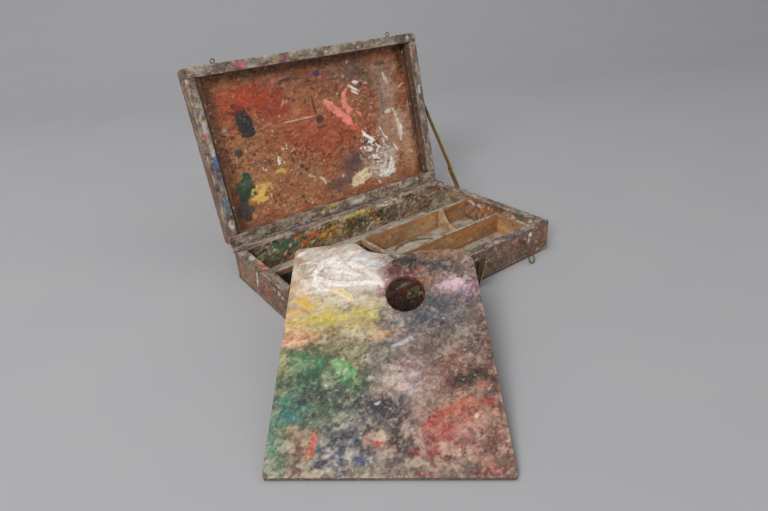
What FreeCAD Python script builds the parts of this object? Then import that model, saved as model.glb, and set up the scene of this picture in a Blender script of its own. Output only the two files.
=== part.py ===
import FreeCAD, Part
import Sketcher
import math
import os
from FreeCAD import Vector, Rotation, Placement

# Wooden artist's paint box with a hinged lid, brass fittings and a
# rectangular thumb-hole palette leaning on its front left corner.
# Millimetres. Origin: centre of the underside of the base.
# +X to the right, +Y to the back (hinge side), +Z up.

doc = FreeCAD.newDocument("paint_box")
dims = doc.addObject("Spreadsheet::Sheet", "dims")

table = [
    # base carcass
    ("box_length", 350.0), ("box_depth", 221.0), ("base_height", 42.0),
    ("wall", 12.5), ("bottom_board", 5.0), ("corner_round", 5.0),
    # compartments
    ("divider", 5.0), ("divider_top", 33.0),
    ("long_divider_y", 35.5), ("short_divider_y", -33.0), ("cross_divider_x", -26.5),
    ("rest_divider_x", 111.0), ("rest_divider_thick", 6.0), ("rest_dip", 12.5),
    ("cove_radius", 26.0), ("cove_lip", 6.0), ("end_board", 5.5),
    ("liner_gap", 0.5), ("liner_sheet", 1.0), ("liner_top", 27.0),
    # lid
    ("rim_gap", 0.3), ("lid_rail_height", 18.0), ("lid_board", 5.0), ("lid_round", 6.0),
    ("lid_open_angle", 100.73),
    ("runner_thick", 5.5), ("runner_outer_low", 3.4), ("runner_outer_high", 4.2), ("runner_slot", 3.8),
    # hinges
    ("hinge_offset", 2.8), ("hinge_rise", 0.15), ("knuckle_radius", 2.5), ("knuckle_bore", 1.2),
    ("pin_radius", 1.15), ("leaf_width", 28.0), ("leaf_sheet", 1.2), ("leaf_drop", 16.0), ("hinge_x", 112.0),
    # stay
    ("stay_base_y", 58.2), ("stay_base_z", 33.0), ("stay_lid_s", 129.6), ("stay_lid_n", 11.5),
    ("stay_sheet", 1.5), ("stay_upper_width", 7.0), ("stay_lower_width", 9.0),
    ("stay_screw", 1.5), ("stay_hole", 1.58),
    # hooks and eyes
    ("staple_wire", 0.8), ("hook_wire", 0.95), ("hook_pivot_z", 28.0), ("hook_pivot_out", 3.4), ("hook_loop", 1.98),
    ("hook_bend", 4.5), ("hook_top_z", 52.2), ("eye_x", 133.0), ("eye_z", 53.0), ("eye_loop", 2.6),
    ("hook_rest_turn", 158.0),
    # carrying handle
    ("bail_wire", 1.5), ("bail_z", 29.0), ("bail_out", 6.4), ("bail_x", 50.5), ("bail_drop", 22.5),
    ("bail_foot_x", 41.5), ("grip_radius", 4.5), ("grip_half", 32.5),
    ("tab_width", 6.4), ("tab_thick", 3.4), ("tab_top_z", 33.8), ("tab_foot_x", 36.2), ("tab_lean", 9.0),
    ("plate_sheet", 1.0),
    # palette
    ("palette_half", 99.2), ("palette_length", 267.0), ("palette_thick", 5.0),
    ("palette_x", -218.2), ("palette_y", -273.6), ("palette_turn", -39.66), ("palette_tilt", 15.45),
    ("thumb_half_width", 19.8), ("thumb_half_length", 24.5), ("thumb_x", 12.7), ("thumb_y", 191.7),
]
for i, (alias, value) in enumerate(table, start=1):
    dims.set("A%d" % i, alias)
    dims.set("B%d" % i, str(value))
    dims.setAlias("B%d" % i, alias)
doc.recompute()


def val(alias):
    return float(getattr(dims, alias))


L, D, H = val("box_length"), val("box_depth"), val("base_height")
W, BB = val("wall"), val("bottom_board")
HL, HD = L / 2.0, D / 2.0
nodes = []


def node(label, obj):
    obj.Label = label
    nodes.append((label, obj))
    return obj


def plane(body, role):
    for feature in body.Origin.OriginFeatures:
        if feature.Role == role:
            return feature
    raise RuntimeError("no plane " + role)


def new_sketch(body, name, role, offset_expr=None):
    sketch = body.newObject("Sketcher::SketchObject", name)
    sketch.AttachmentSupport = [(plane(body, role), "")]
    sketch.MapMode = "FlatFace"
    if offset_expr is not None:
        sketch.setExpression("AttachmentOffset.Base.z", offset_expr)
    return sketch


def rectangle(sketch, x0, x1, y0, y1):
    # closed rectangle whose four limits are measured from the sketch origin
    pts = [Vector(0, 0, 0), Vector(10, 0, 0), Vector(10, 10, 0), Vector(0, 10, 0)]
    for k in range(4):
        sketch.addGeometry(Part.LineSegment(pts[k], pts[(k + 1) % 4]), False)
    for k in range(4):
        sketch.addConstraint(Sketcher.Constraint("Coincident", k, 2, (k + 1) % 4, 1))
    for k, kind in ((0, "Horizontal"), (1, "Vertical"), (2, "Horizontal"), (3, "Vertical")):
        sketch.addConstraint(Sketcher.Constraint(kind, k))
    for kind, geo, name, expr in (("DistanceX", 0, "low_x", x0), ("DistanceY", 0, "low_y", y0),
                                  ("DistanceX", 2, "high_x", x1), ("DistanceY", 2, "high_y", y1)):
        c = sketch.addConstraint(Sketcher.Constraint(kind, -1, 1, geo, 1, 1.0 if "low" in name else 9.0))
        sketch.renameConstraint(c, name)
        sketch.setExpression("Constraints." + name, expr)


def outline(sketch, items):
    # chain of ("line", end) and ("arc", middle, end) items from a start point
    start = items[0]
    here = start
    for item in items[1:]:
        if item[0] == "line":
            sketch.addGeometry(Part.LineSegment(here, item[1]), False)
            here = item[1]
        else:
            sketch.addGeometry(Part.Arc(here, item[1], item[2]), False)
            here = item[2]


def pad(body, sketch, length_expr, name, reverse=False, midplane=False):
    feature = body.newObject("PartDesign::Pad", name)
    feature.Profile = sketch
    feature.setExpression("Length", length_expr)
    feature.Reversed = reverse
    feature.Midplane = midplane
    return feature


def corner_edges(shape, corners, tolerance=0.05):
    # names of the upright edges that stand over the given x, y corners
    names = []
    for k, edge in enumerate(shape.Edges, start=1):
        if len(edge.Vertexes) != 2:
            continue
        a, b = edge.Vertexes[0].Point, edge.Vertexes[1].Point
        if abs(a.x - b.x) > tolerance or abs(a.y - b.y) > tolerance or abs(a.z - b.z) < 1.0:
            continue
        for cx, cy in corners:
            if abs(a.x - cx) < tolerance and abs(a.y - cy) < tolerance:
                names.append("Edge%d" % k)
    return names


def board(label, x0, x1, y0, y1, z0, thick, rounds=None, radius="dims.corner_round"):
    # a sawn board: rectangle at height z0, padded up, with chosen upright corners rounded
    body = doc.addObject("PartDesign::Body", label + "_body")
    sketch = new_sketch(body, label + "_sketch", "XY_Plane", z0)
    rectangle(sketch, x0, x1, y0, y1)
    solid = pad(body, sketch, thick, label + "_pad")
    if rounds:
        doc.recompute()
        names = corner_edges(solid.Shape, rounds)
        if len(names) != len(rounds):
            raise RuntimeError("%s: rounded corners found %d" % (label, len(names)))
        fillet = body.newObject("PartDesign::Fillet", label + "_round")
        fillet.Base = (solid, names)
        fillet.setExpression("Radius", radius)
    return body


def extruded(label, role, points, offset_expr, thick_expr, reverse=False):
    body = doc.addObject("PartDesign::Body", label + "_body")
    sketch = new_sketch(body, label + "_sketch", role, offset_expr)
    outline(sketch, points)
    pad(body, sketch, thick_expr, label + "_pad", reverse=reverse)
    return body


def cylinder(name, radius, length, base, direction, radius_expr=None):
    obj = doc.addObject("Part::Cylinder", name)
    obj.Radius = radius
    obj.Height = length
    if radius_expr:
        obj.setExpression("Radius", radius_expr)
    obj.Placement = Placement(base, Rotation(Vector(0, 0, 1), direction))
    return obj


def block(name, x0, x1, y0, y1, z0, z1):
    obj = doc.addObject("Part::Box", name)
    obj.Length, obj.Width, obj.Height = x1 - x0, y1 - y0, z1 - z0
    obj.Placement = Placement(Vector(x0, y0, z0), Rotation())
    return obj


def ball(name, radius, centre):
    obj = doc.addObject("Part::Sphere", name)
    obj.Radius = radius
    obj.Placement = Placement(centre, Rotation())
    return obj


def torus(name, big, small, centre, axis, start=None, sweep=360.0, big_expr=None):
    # ring or arc of round wire; start is the direction of the arc's first point
    obj = doc.addObject("Part::Torus", name)
    obj.Radius1, obj.Radius2, obj.Angle3 = big, small, sweep
    if big_expr:
        obj.setExpression("Radius1", big_expr)
    if start is None:
        obj.Placement = Placement(centre, Rotation(Vector(0, 0, 1), axis))
    else:
        obj.Placement = Placement(centre, Rotation(start, axis.cross(start), axis, "ZXY"))
    return obj


def fuse(name, parts):
    obj = doc.addObject("Part::MultiFuse", name)
    obj.Shapes = parts
    return obj


def cut(name, base, tool):
    obj = doc.addObject("Part::Cut", name)
    obj.Base, obj.Tool = base, tool
    return obj


def group(name, parts):
    obj = doc.addObject("Part::Compound", name)
    obj.Links = parts
    return obj


# ---------------------------------------------------------------- base carcass
corners4 = [(-HL, -HD), (HL, -HD), (-HL, HD), (HL, HD)]
node("base_bottom_board", board("base_bottom_board", "-dims.box_length/2", "dims.box_length/2",
     "-dims.box_depth/2", "dims.box_depth/2", "0", "dims.bottom_board", corners4))
wall_h = "dims.base_height-dims.bottom_board"
node("base_front_wall", board("base_front_wall", "-dims.box_length/2", "dims.box_length/2",
     "-dims.box_depth/2", "-dims.box_depth/2+dims.wall", "dims.bottom_board", wall_h,
     [(-HL, -HD), (HL, -HD)]))
node("base_back_wall", board("base_back_wall", "-dims.box_length/2", "dims.box_length/2",
     "dims.box_depth/2-dims.wall", "dims.box_depth/2", "dims.bottom_board", wall_h,
     [(-HL, HD), (HL, HD)]))
node("base_left_wall", board("base_left_wall", "-dims.box_length/2", "-dims.box_length/2+dims.wall",
     "-dims.box_depth/2+dims.wall", "dims.box_depth/2-dims.wall", "dims.bottom_board", wall_h))
node("base_right_wall", board("base_right_wall", "dims.box_length/2-dims.wall", "dims.box_length/2",
     "-dims.box_depth/2+dims.wall", "dims.box_depth/2-dims.wall", "dims.bottom_board", wall_h))

# ---------------------------------------------------------------- compartments
div_h = "dims.divider_top-dims.bottom_board"
node("long_divider", board("long_divider", "-dims.box_length/2+dims.wall", "dims.box_length/2-dims.wall",
     "dims.long_divider_y-dims.divider/2", "dims.long_divider_y+dims.divider/2", "dims.bottom_board", div_h))
node("cross_divider", board("cross_divider", "dims.cross_divider_x-dims.divider/2",
     "dims.cross_divider_x+dims.divider/2", "-dims.box_depth/2+dims.wall",
     "dims.long_divider_y-dims.divider/2", "dims.bottom_board", div_h))
node("short_divider", board("short_divider", "dims.cross_divider_x+dims.divider/2",
     "dims.box_length/2-dims.wall", "dims.short_divider_y-dims.divider/2",
     "dims.short_divider_y+dims.divider/2", "dims.bottom_board", div_h))

# scooped cross piece that brushes and tubes lie in; its top dips between the two dividers
ya = val("short_divider_y") + val("divider") / 2
yb = val("long_divider_y") - val("divider") / 2
top = val("divider_top")
dip = val("rest_dip")
shoulder = 5.0
# the YZ plane sketch has its x along +Y and its y along +Z
rest = extruded("brush_rest_divider", "YZ_Plane", [
    Vector(ya, BB, 0), ("line", Vector(yb, BB, 0)), ("line", Vector(yb, top, 0)),
    ("line", Vector(yb - shoulder, top, 0)),
    ("arc", Vector((ya + yb) / 2, dip, 0), Vector(ya + shoulder, top, 0)),
    ("line", Vector(ya, top, 0)), ("line", Vector(ya, BB, 0))],
    "dims.rest_divider_x-dims.rest_divider_thick/2", "dims.rest_divider_thick")
node("brush_rest_divider", rest)

# finger scoop at the right end of the back trough: a block hollowed to a quarter round
xr = HL - W
cr = val("cove_radius")
lip = val("cove_lip")
yc0 = val("long_divider_y") + val("divider") / 2
yc1 = HD - W
xc = xr - lip - cr
cove_top = top - 1.0
k45 = math.sqrt(0.5)
# the XZ plane sketch has its x along +X and its y along +Z, and pads towards -Y
node("trough_scoop", extruded("trough_scoop", "XZ_Plane", [
    Vector(xr, BB, 0), ("line", Vector(xr, cove_top, 0)), ("line", Vector(xr - lip, cove_top, 0)),
    ("arc", Vector(xc + cr * k45, cove_top - cr * k45 + 0.3, 0), Vector(xc, cove_top - cr + 0.6, 0)),
    ("line", Vector(xc, BB, 0)), ("line", Vector(xr, BB, 0))],
    "-(dims.box_depth/2-dims.wall)",
    "dims.box_depth/2-dims.wall-(dims.long_divider_y+dims.divider/2)"))

# lining board at the right end of the front compartment, cut away in a curve towards the front wall
yf0 = -HD + W
yf1 = val("short_divider_y") - val("divider") / 2
node("front_end_board", extruded("front_end_board", "YZ_Plane", [
    Vector(yf0, BB, 0), ("line", Vector(yf1, BB, 0)), ("line", Vector(yf1, top, 0)),
    ("line", Vector(yf1 - 21.0, top, 0)),
    ("arc", Vector(yf1 - 37.0, top - 7.5, 0), Vector(yf0, top - 19.0, 0)),
    ("line", Vector(yf0, BB, 0))],
    "dims.box_length/2-dims.wall-dims.end_board", "dims.end_board"))

# black tin tray lining the left front compartment
tin = doc.addObject("PartDesign::Body", "tin_liner_body")
sk = new_sketch(tin, "tin_liner_sketch", "XY_Plane", "dims.bottom_board")
rectangle(sk, "-dims.box_length/2+dims.wall+dims.liner_gap", "dims.cross_divider_x-dims.divider/2-dims.liner_gap",
          "-dims.box_depth/2+dims.wall+dims.liner_gap", "dims.long_divider_y-dims.divider/2-dims.liner_gap")
pad(tin, sk, "dims.liner_top-dims.bottom_board", "tin_liner_pad")
sk = new_sketch(tin, "tin_liner_inside", "XY_Plane", "dims.liner_top")
rectangle(sk, "-dims.box_length/2+dims.wall+dims.liner_gap+dims.liner_sheet",
          "dims.cross_divider_x-dims.divider/2-dims.liner_gap-dims.liner_sheet",
          "-dims.box_depth/2+dims.wall+dims.liner_gap+dims.liner_sheet",
          "dims.long_divider_y-dims.divider/2-dims.liner_gap-dims.liner_sheet")
hollow = tin.newObject("PartDesign::Pocket", "tin_liner_hollow")
hollow.Profile = sk
hollow.setExpression("Length", "dims.liner_top-dims.bottom_board-dims.liner_sheet")
node("tin_liner", tin)

# ---------------------------------------------------------------- lid, drawn shut, then swung open
hinge_y = HD + val("hinge_offset")
hinge_z = H + val("hinge_rise")
hinge_point = Vector(0, hinge_y, hinge_z)
opened = Placement(Vector(0, 0, 0), Rotation(Vector(1, 0, 0), -val("lid_open_angle")), hinge_point)
z_rim = "dims.base_height+dims.rim_gap"
rail_h = "dims.lid_rail_height"
node("lid_front_rail", board("lid_front_rail", "-dims.box_length/2", "dims.box_length/2",
     "-dims.box_depth/2", "-dims.box_depth/2+dims.wall", z_rim, rail_h, [(-HL, -HD), (HL, -HD)], "dims.lid_round"))
node("lid_back_rail", board("lid_back_rail", "-dims.box_length/2", "dims.box_length/2",
     "dims.box_depth/2-dims.wall", "dims.box_depth/2", z_rim, rail_h, [(-HL, HD), (HL, HD)], "dims.lid_round"))
node("lid_left_rail", board("lid_left_rail", "-dims.box_length/2", "-dims.box_length/2+dims.wall",
     "-dims.box_depth/2+dims.wall", "dims.box_depth/2-dims.wall", z_rim, rail_h))
node("lid_right_rail", board("lid_right_rail", "dims.box_length/2-dims.wall", "dims.box_length/2",
     "-dims.box_depth/2+dims.wall", "dims.box_depth/2-dims.wall", z_rim, rail_h))
node("lid_board", board("lid_board", "-dims.box_length/2", "dims.box_length/2",
     "-dims.box_depth/2", "dims.box_depth/2", "dims.base_height+dims.rim_gap+dims.lid_rail_height",
     "dims.lid_board", corners4, "dims.lid_round"))
for side, x0, x1 in (("left", "-dims.box_length/2+dims.wall", "-dims.box_length/2+dims.wall+dims.runner_thick"),
                     ("right", "dims.box_length/2-dims.wall-dims.runner_thick", "dims.box_length/2-dims.wall")):
    y0, y1 = "-dims.box_depth/2+dims.wall", "dims.box_depth/2-dims.wall"
    node("panel_runner_outer_" + side, board("panel_runner_outer_" + side, x0, x1, y0, y1,
         "dims.base_height+dims.rim_gap+dims.runner_outer_low", "dims.runner_outer_high"))
    node("panel_runner_inner_" + side, board("panel_runner_inner_" + side, x0, x1, y0, y1,
         "dims.base_height+dims.rim_gap+dims.runner_outer_low+dims.runner_outer_high+dims.runner_slot",
         "dims.lid_rail_height-dims.runner_outer_low-dims.runner_outer_high-dims.runner_slot"))
lid_labels = [n for n, o in nodes if n.startswith("lid_") or n.startswith("panel_runner")]
for n, o in nodes:
    if n in lid_labels:
        o.Placement = opened

# ---------------------------------------------------------------- butt hinges on the back
kr, kb = val("knuckle_radius"), val("knuckle_bore")
lw, ls, ld = val("leaf_width"), val("leaf_sheet"), val("leaf_drop")
hx = val("hinge_x")
X1 = Vector(1, 0, 0)
base_leaves, lid_leaves, pins = [], [], []
for tag, cx in (("l", -hx), ("r", hx)):
    plate = block("base_leaf_plate_" + tag, cx - lw / 2, cx + lw / 2, HD, HD + ls, H - 2.6 - ld, H - 2.6)
    parts = [plate]
    for kk, (a, b) in enumerate(((-lw / 2, -4.9), (4.9, lw / 2))):
        parts.append(block("base_leaf_tab_%s%d" % (tag, kk), cx + a, cx + b, HD, HD + ls, H - 3.0, H - 0.2))
        parts.append(cylinder("base_knuckle_%s%d" % (tag, kk), kr, b - a, Vector(cx + a, hinge_y, hinge_z), X1,
                              "dims.knuckle_radius"))
    bore = cylinder("base_knuckle_bore_" + tag, kb, lw + 4, Vector(cx - lw / 2 - 2, hinge_y, hinge_z), X1,
                    "dims.knuckle_bore")
    base_leaves.append(cut("base_leaf_" + tag, fuse("base_leaf_fuse_" + tag, parts), bore))
    plate = block("lid_leaf_plate_" + tag, cx - lw / 2, cx + lw / 2, HD, HD + ls, H + 2.9, H + 2.9 + ld)
    tab = block("lid_leaf_tab_" + tag, cx - 4.7, cx + 4.7, HD, HD + ls, H + 0.4, H + 3.2)
    knuckle = cylinder("lid_knuckle_" + tag, kr, 9.4, Vector(cx - 4.7, hinge_y, hinge_z), X1, "dims.knuckle_radius")
    bore = cylinder("lid_knuckle_bore_" + tag, kb, 14, Vector(cx - 7, hinge_y, hinge_z), X1, "dims.knuckle_bore")
    lid_leaves.append(cut("lid_leaf_" + tag, fuse("lid_leaf_fuse_" + tag, [plate, tab, knuckle]), bore))
    rod = cylinder("hinge_rod_" + tag, val("pin_radius"), lw + 0.6, Vector(cx - lw / 2 - 0.3, hinge_y, hinge_z), X1,
                   "dims.pin_radius")
    caps = [cylinder("hinge_cap_%s%d" % (tag, s), 1.7, 0.7, Vector(cx + s * (lw / 2 + 0.05) - (0.7 if s < 0 else 0), hinge_y, hinge_z), X1)
            for s in (-1, 1)]
    pins.append(fuse("hinge_pin_" + tag, [rod] + caps))
node("hinge_base_leaves", group("hinge_base_leaves_group", base_leaves))
node("hinge_pins", group("hinge_pins_group", pins))
o = node("hinge_lid_leaves", group("hinge_lid_leaves_group", lid_leaves))
o.Placement = opened


def wood_screw(name, point, outward, head_r, head_h, shank_r, shank_l, dome=True):
    # round-head or pan-head screw whose head sits on point and stands out along outward
    shank = cylinder(name + "_shank", shank_r, shank_l + 0.2, point - outward * shank_l, outward)
    head = cylinder(name + "_head", head_r, head_h, point, outward)
    parts = [shank, head]
    return fuse(name, parts)


Y1 = Vector(0, 1, 0)
Z1 = Vector(0, 0, 1)
base_screws, lid_screws = [], []
for cx in (-hx, hx):
    for dx, dz in ((-9.0, -12.5), (0.0, -8.5), (9.0, -12.5)):
        base_screws.append(wood_screw("hinge_base_screw_%d_%d" % (cx + 200, dx + 20), Vector(cx + dx, HD + ls, H + dz), Y1,
                                      1.9, 0.5, 0.9, 9.0))
        lid_screws.append(wood_screw("hinge_lid_screw_%d_%d" % (cx + 200, dx + 20), Vector(cx + dx, HD + ls, H - dz), Y1,
                                     1.9, 0.5, 0.9, 9.0))
node("hinge_base_screws", group("hinge_base_screws_group", base_screws))
o = node("hinge_lid_screws", group("hinge_lid_screws_group", lid_screws))
o.Placement = opened

# ---------------------------------------------------------------- hooks, their staples and the lid eyes
wr = val("staple_wire")
hw = val("hook_wire")
py = -HD - val("hook_pivot_out")
pz = val("hook_pivot_z")
hook_turn = val("hook_rest_turn")
hb = val("hook_bend")
hz = val("hook_top_z")
staples, eyes = [], []
for side, ex in (("left", -val("eye_x")), ("right", val("eye_x"))):
    x0 = ex - 2 * hb
    bar = cylinder("staple_bar_" + side, wr, 8.0, Vector(x0 - 4.0, py, pz), X1, "dims.staple_wire")
    legs = [cylinder("staple_leg_%s%d" % (side, s), wr, -HD + 8.0 - py, Vector(x0 + s * 4.0, py, pz), Y1, "dims.staple_wire") for s in (-1, 1)]
    knees = [ball("staple_knee_%s%d" % (side, s), wr, Vector(x0 + s * 4.0, py, pz)) for s in (-1, 1)]
    staples.append(fuse("staple_" + side, [bar] + legs + knees))
    # hook drawn standing up in its latched place, then dropped to hang with its tip near the table
    loop = torus("hook_loop_" + side, val("hook_loop"), hw, Vector(x0, py, pz), X1, big_expr="dims.hook_loop")
    shank = cylinder("hook_shank_" + side, hw, hz - pz - val("hook_loop"), Vector(x0, py, pz + val("hook_loop")), Z1, "dims.hook_wire")
    bend = torus("hook_bend_" + side, hb, hw, Vector(x0 + hb, py, hz), Vector(0, 1, 0), Vector(-1, 0, 0), 180.0, big_expr="dims.hook_bend")
    tip = cylinder("hook_tip_" + side, hw, 2.8, Vector(x0 + 2 * hb, py, hz - 2.8), Z1, "dims.hook_wire")
    tip_end = ball("hook_tip_end_" + side, hw, Vector(x0 + 2 * hb, py, hz - 2.8))
    hook = node("hook_" + side, fuse("hook_fuse_" + side, [loop, shank, bend, tip, tip_end]))
    hook.Placement = Placement(Vector(0, 0, 0), Rotation(Vector(1, 0, 0), hook_turn), Vector(x0, py, pz))
    ring = torus("eye_ring_" + side, val("eye_loop"), wr, Vector(ex, -HD - val("eye_loop") - wr, val("eye_z")), Z1, big_expr="dims.eye_loop")
    stem = cylinder("eye_stem_" + side, wr - 0.1, 9.5, Vector(ex, -HD - wr, val("eye_z")), Y1)
    eyes.append(fuse("eye_" + side, [ring, stem]))
node("hook_staples", group("hook_staples_group", staples))
o = node("lid_hook_eyes", group("lid_hook_eyes_group", eyes))
o.Placement = opened

# ---------------------------------------------------------------- carrying handle
br = val("bail_wire")
by = -HD - val("bail_out")
bz = val("bail_z")
bx = val("bail_x")
fx = val("bail_foot_x")
zb = bz - val("bail_drop")
plates, plate_screws = [], []
for s in (-1, 1):
    tag = "l" if s < 0 else "r"
    xa, xb = sorted((s * 49.0, s * 67.0))
    pl = block("handle_plate_sheet_" + tag, xa, xb, -HD - val("plate_sheet"), -HD, bz - 5.5, bz + 5.5)
    la, lb = sorted((s * 52.3, s * 56.6))
    lug = cylinder("handle_lug_" + tag, 2.9, lb - la, Vector(la, by, bz), X1)
    web = block("handle_lug_web_" + tag, la, lb, by, -HD - 0.2, bz - 2.2, bz + 2.2)
    bore = cylinder("handle_lug_bore_" + tag, br + 0.08, 12.0, Vector(min(la, lb) - 3, by, bz), X1)
    plates.append(cut("handle_plate_" + tag, fuse("handle_plate_fuse_" + tag, [pl, lug, web]), bore))
    sc = fuse("handle_screw_" + tag, [
        cylinder("handle_screw_shank_" + tag, 1.2, 9.0, Vector(s * 61.5, -HD - 1.2, bz), Y1),
        cut("handle_screw_head_" + tag, ball("handle_screw_ball_" + tag, 3.3, Vector(s * 61.5, -HD + 0.4, bz)),
            block("handle_screw_trim_" + tag, s * 61.5 - 5, s * 61.5 + 5, -HD - 1.0, -HD + 8, bz - 5, bz + 5))])
    plate_screws.append(sc)
node("handle_plates", group("handle_plates_group", plates))
node("handle_screws", group("handle_screws_group", plate_screws))
# wire bail: pins in the lugs, arms slanting inwards and down, bar through the grip
wire_parts = []
for s in (-1, 1):
    tag = "l" if s < 0 else "r"
    pa, pb = sorted((s * bx, s * 57.2))
    wire_parts.append(cylinder("bail_pin_" + tag, br, pb - pa, Vector(pa, by, bz), X1, "dims.bail_wire"))
    wire_parts.append(ball("bail_knee_" + tag, br, Vector(s * bx, by, bz)))
    lean = Vector(s * (bx - fx), 0, bz - zb)
    wire_parts.append(cylinder("bail_arm_" + tag, br, lean.Length, Vector(s * fx, by, zb), Vector(lean).normalize(), "dims.bail_wire"))
    wire_parts.append(ball("bail_foot_" + tag, br, Vector(s * fx, by, zb)))
wire_parts.append(cylinder("bail_bar", br, 2 * fx, Vector(-fx, by, zb), X1, "dims.bail_wire"))
node("handle_bail", fuse("handle_bail_fuse", wire_parts))
grip = cylinder("grip_outer", val("grip_radius"), 2 * val("grip_half"), Vector(-val("grip_half"), by, zb), X1, "dims.grip_radius")
grip_bore = cylinder("grip_bore", br + 0.03, 2 * val("grip_half") + 4, Vector(-val("grip_half") - 2, by, zb), X1, "dims.bail_wire+0.03")
node("handle_grip", cut("handle_grip_cut", grip, grip_bore))
# stiff leather ends that stand up from the bar
tw, tt = val("tab_width"), val("tab_thick")
tabs = []
for s in (-1, 1):
    tag = "l" if s < 0 else "r"
    height = (val("tab_top_z") - zb) / math.cos(math.radians(val("tab_lean"))) - 0.6
    body = doc.addObject("Part::Box", "tab_strap_" + tag)
    body.setExpression("Length", "dims.tab_width")
    body.setExpression("Width", "dims.tab_thick")
    body.Height = height + 2.6
    turn = Rotation(Vector(0, 1, 0), s * val("tab_lean"))
    foot = Vector(s * val("tab_foot_x"), by, zb)
    body.Placement = Placement(foot - turn.multVec(Vector(tw / 2, tt / 2, 2.6)), turn)
    rod = cylinder("tab_bore_" + tag, br + 0.03, 24.0, Vector(s * val("tab_foot_x") - 12, by, zb), X1, "dims.bail_wire+0.03")
    tabs.append(cut("tab_" + tag, body, rod))
node("handle_end_tabs", group("handle_end_tabs_group", tabs))

# ---------------------------------------------------------------- folding lid stay outside the right wall
ang = math.radians(val("lid_open_angle"))
ss, sn = val("stay_lid_s"), val("stay_lid_n")
P_shut = Vector(0, hinge_y - ss, hinge_z + sn)
P_open = opened.multVec(P_shut)
B = Vector(0, val("stay_base_y"), val("stay_base_z"))
open_len = (P_open - B).Length
shut_len = (P_shut - B).Length
upper_len = (open_len + shut_len) / 2.0
lower_len = (open_len - shut_len) / 2.0
line_angle = math.degrees(math.atan2(P_open.z - B.z, P_open.y - B.y))
sheet = val("stay_sheet")
sr, shole = val("stay_screw"), val("stay_hole")
x_low0 = HL + 0.3
x_low1 = x_low0 + sheet
x_up0 = x_low1 + 0.3
x_up1 = x_up0 + sheet


def link(label, length, width_alias, x_inner, placement, end_hole):
    # flat bar with round ends, drawn along its own +X from the pivot hole
    w = val(width_alias) / 2.0
    body = doc.addObject("PartDesign::Body", label + "_body")
    sketch = new_sketch(body, label + "_sketch", "XY_Plane")
    outline(sketch, [Vector(0, -w, 0), ("line", Vector(length, -w, 0)),
                     ("arc", Vector(length + w, 0, 0), Vector(length, w, 0)), ("line", Vector(0, w, 0)),
                     ("arc", Vector(-w, 0, 0), Vector(0, -w, 0))])
    pad(body, sketch, "dims.stay_sheet", label + "_pad")
    holes = new_sketch(body, label + "_holes", "XY_Plane", "dims.stay_sheet")
    g = holes.addGeometry(Part.Circle(Vector(0, 0, 0), Vector(0, 0, 1), shole), False)
    c = holes.addConstraint(Sketcher.Constraint("Radius", g, shole))
    holes.renameConstraint(c, "hole")
    holes.setExpression("Constraints.hole", "dims.stay_hole")
    holes.addConstraint(Sketcher.Constraint("Coincident", g, 3, -1, 1))
    if end_hole:
        holes.addGeometry(Part.Circle(Vector(length, 0, 0), Vector(0, 0, 1), end_hole), False)
    drill = body.newObject("PartDesign::Pocket", label + "_drill")
    drill.Profile = holes
    drill.Type = 1
    body.Placement = placement
    return body


def side_placement(x_inner, pivot, angle_deg):
    # local +X runs along the bar in the Y-Z plane, local +Z points to +X
    a = math.radians(angle_deg)
    along = Vector(0, math.cos(a), math.sin(a))
    return Placement(Vector(x_inner, pivot.y, pivot.z), Rotation(along, Vector(1, 0, 0).cross(along), Vector(1, 0, 0), "ZXY"))


node("stay_lower_link", link("stay_lower_link", lower_len, "stay_lower_width", x_low0,
                             side_placement(x_low0, B, line_angle), 1.58))
node("stay_upper_link", link("stay_upper_link", upper_len, "stay_upper_width", x_up0,
                             side_placement(x_up0, P_open, line_angle + 180.0), 1.5))
E_open = B + (P_open - B) * (lower_len / open_len)
node("stay_elbow_rivet", fuse("stay_elbow_rivet_fuse", [
    cylinder("elbow_shank", 1.5, sheet, Vector(x_up0, E_open.y, E_open.z), X1, "dims.stay_screw"),
    cylinder("elbow_head", 2.9, 1.1, Vector(x_up1, E_open.y, E_open.z), X1)]))
node("stay_lower_screw", fuse("stay_lower_screw_fuse", [
    cylinder("lower_screw_shank", sr, 10.0 + 0.3 + sheet, Vector(HL - 10.0, B.y, B.z), X1, "dims.stay_screw"),
    cylinder("lower_screw_washer", 3.2, 0.25, Vector(HL, B.y, B.z), X1)]))
node("stay_upper_screw", fuse("stay_upper_screw_fuse", [
    cylinder("upper_screw_shank", sr, 9.0 + x_up1 - HL + 0.1, Vector(HL - 9.0, P_open.y, P_open.z), X1, "dims.stay_screw"),
    cylinder("upper_screw_washer", 3.0, x_up0 - HL - 0.1, Vector(HL, P_open.y, P_open.z), X1),
    cylinder("upper_screw_head", 3.1, 1.2, Vector(x_up1 + 0.1, P_open.y, P_open.z), X1)]))

# ---------------------------------------------------------------- nails
def nail(name, point, inward, length, head_r=1.1, shank_r=0.7):
    return fuse(name, [cylinder(name + "_shank", shank_r, length, point, inward),
                       cylinder(name + "_head", head_r, 0.5, point, inward)])


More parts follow.
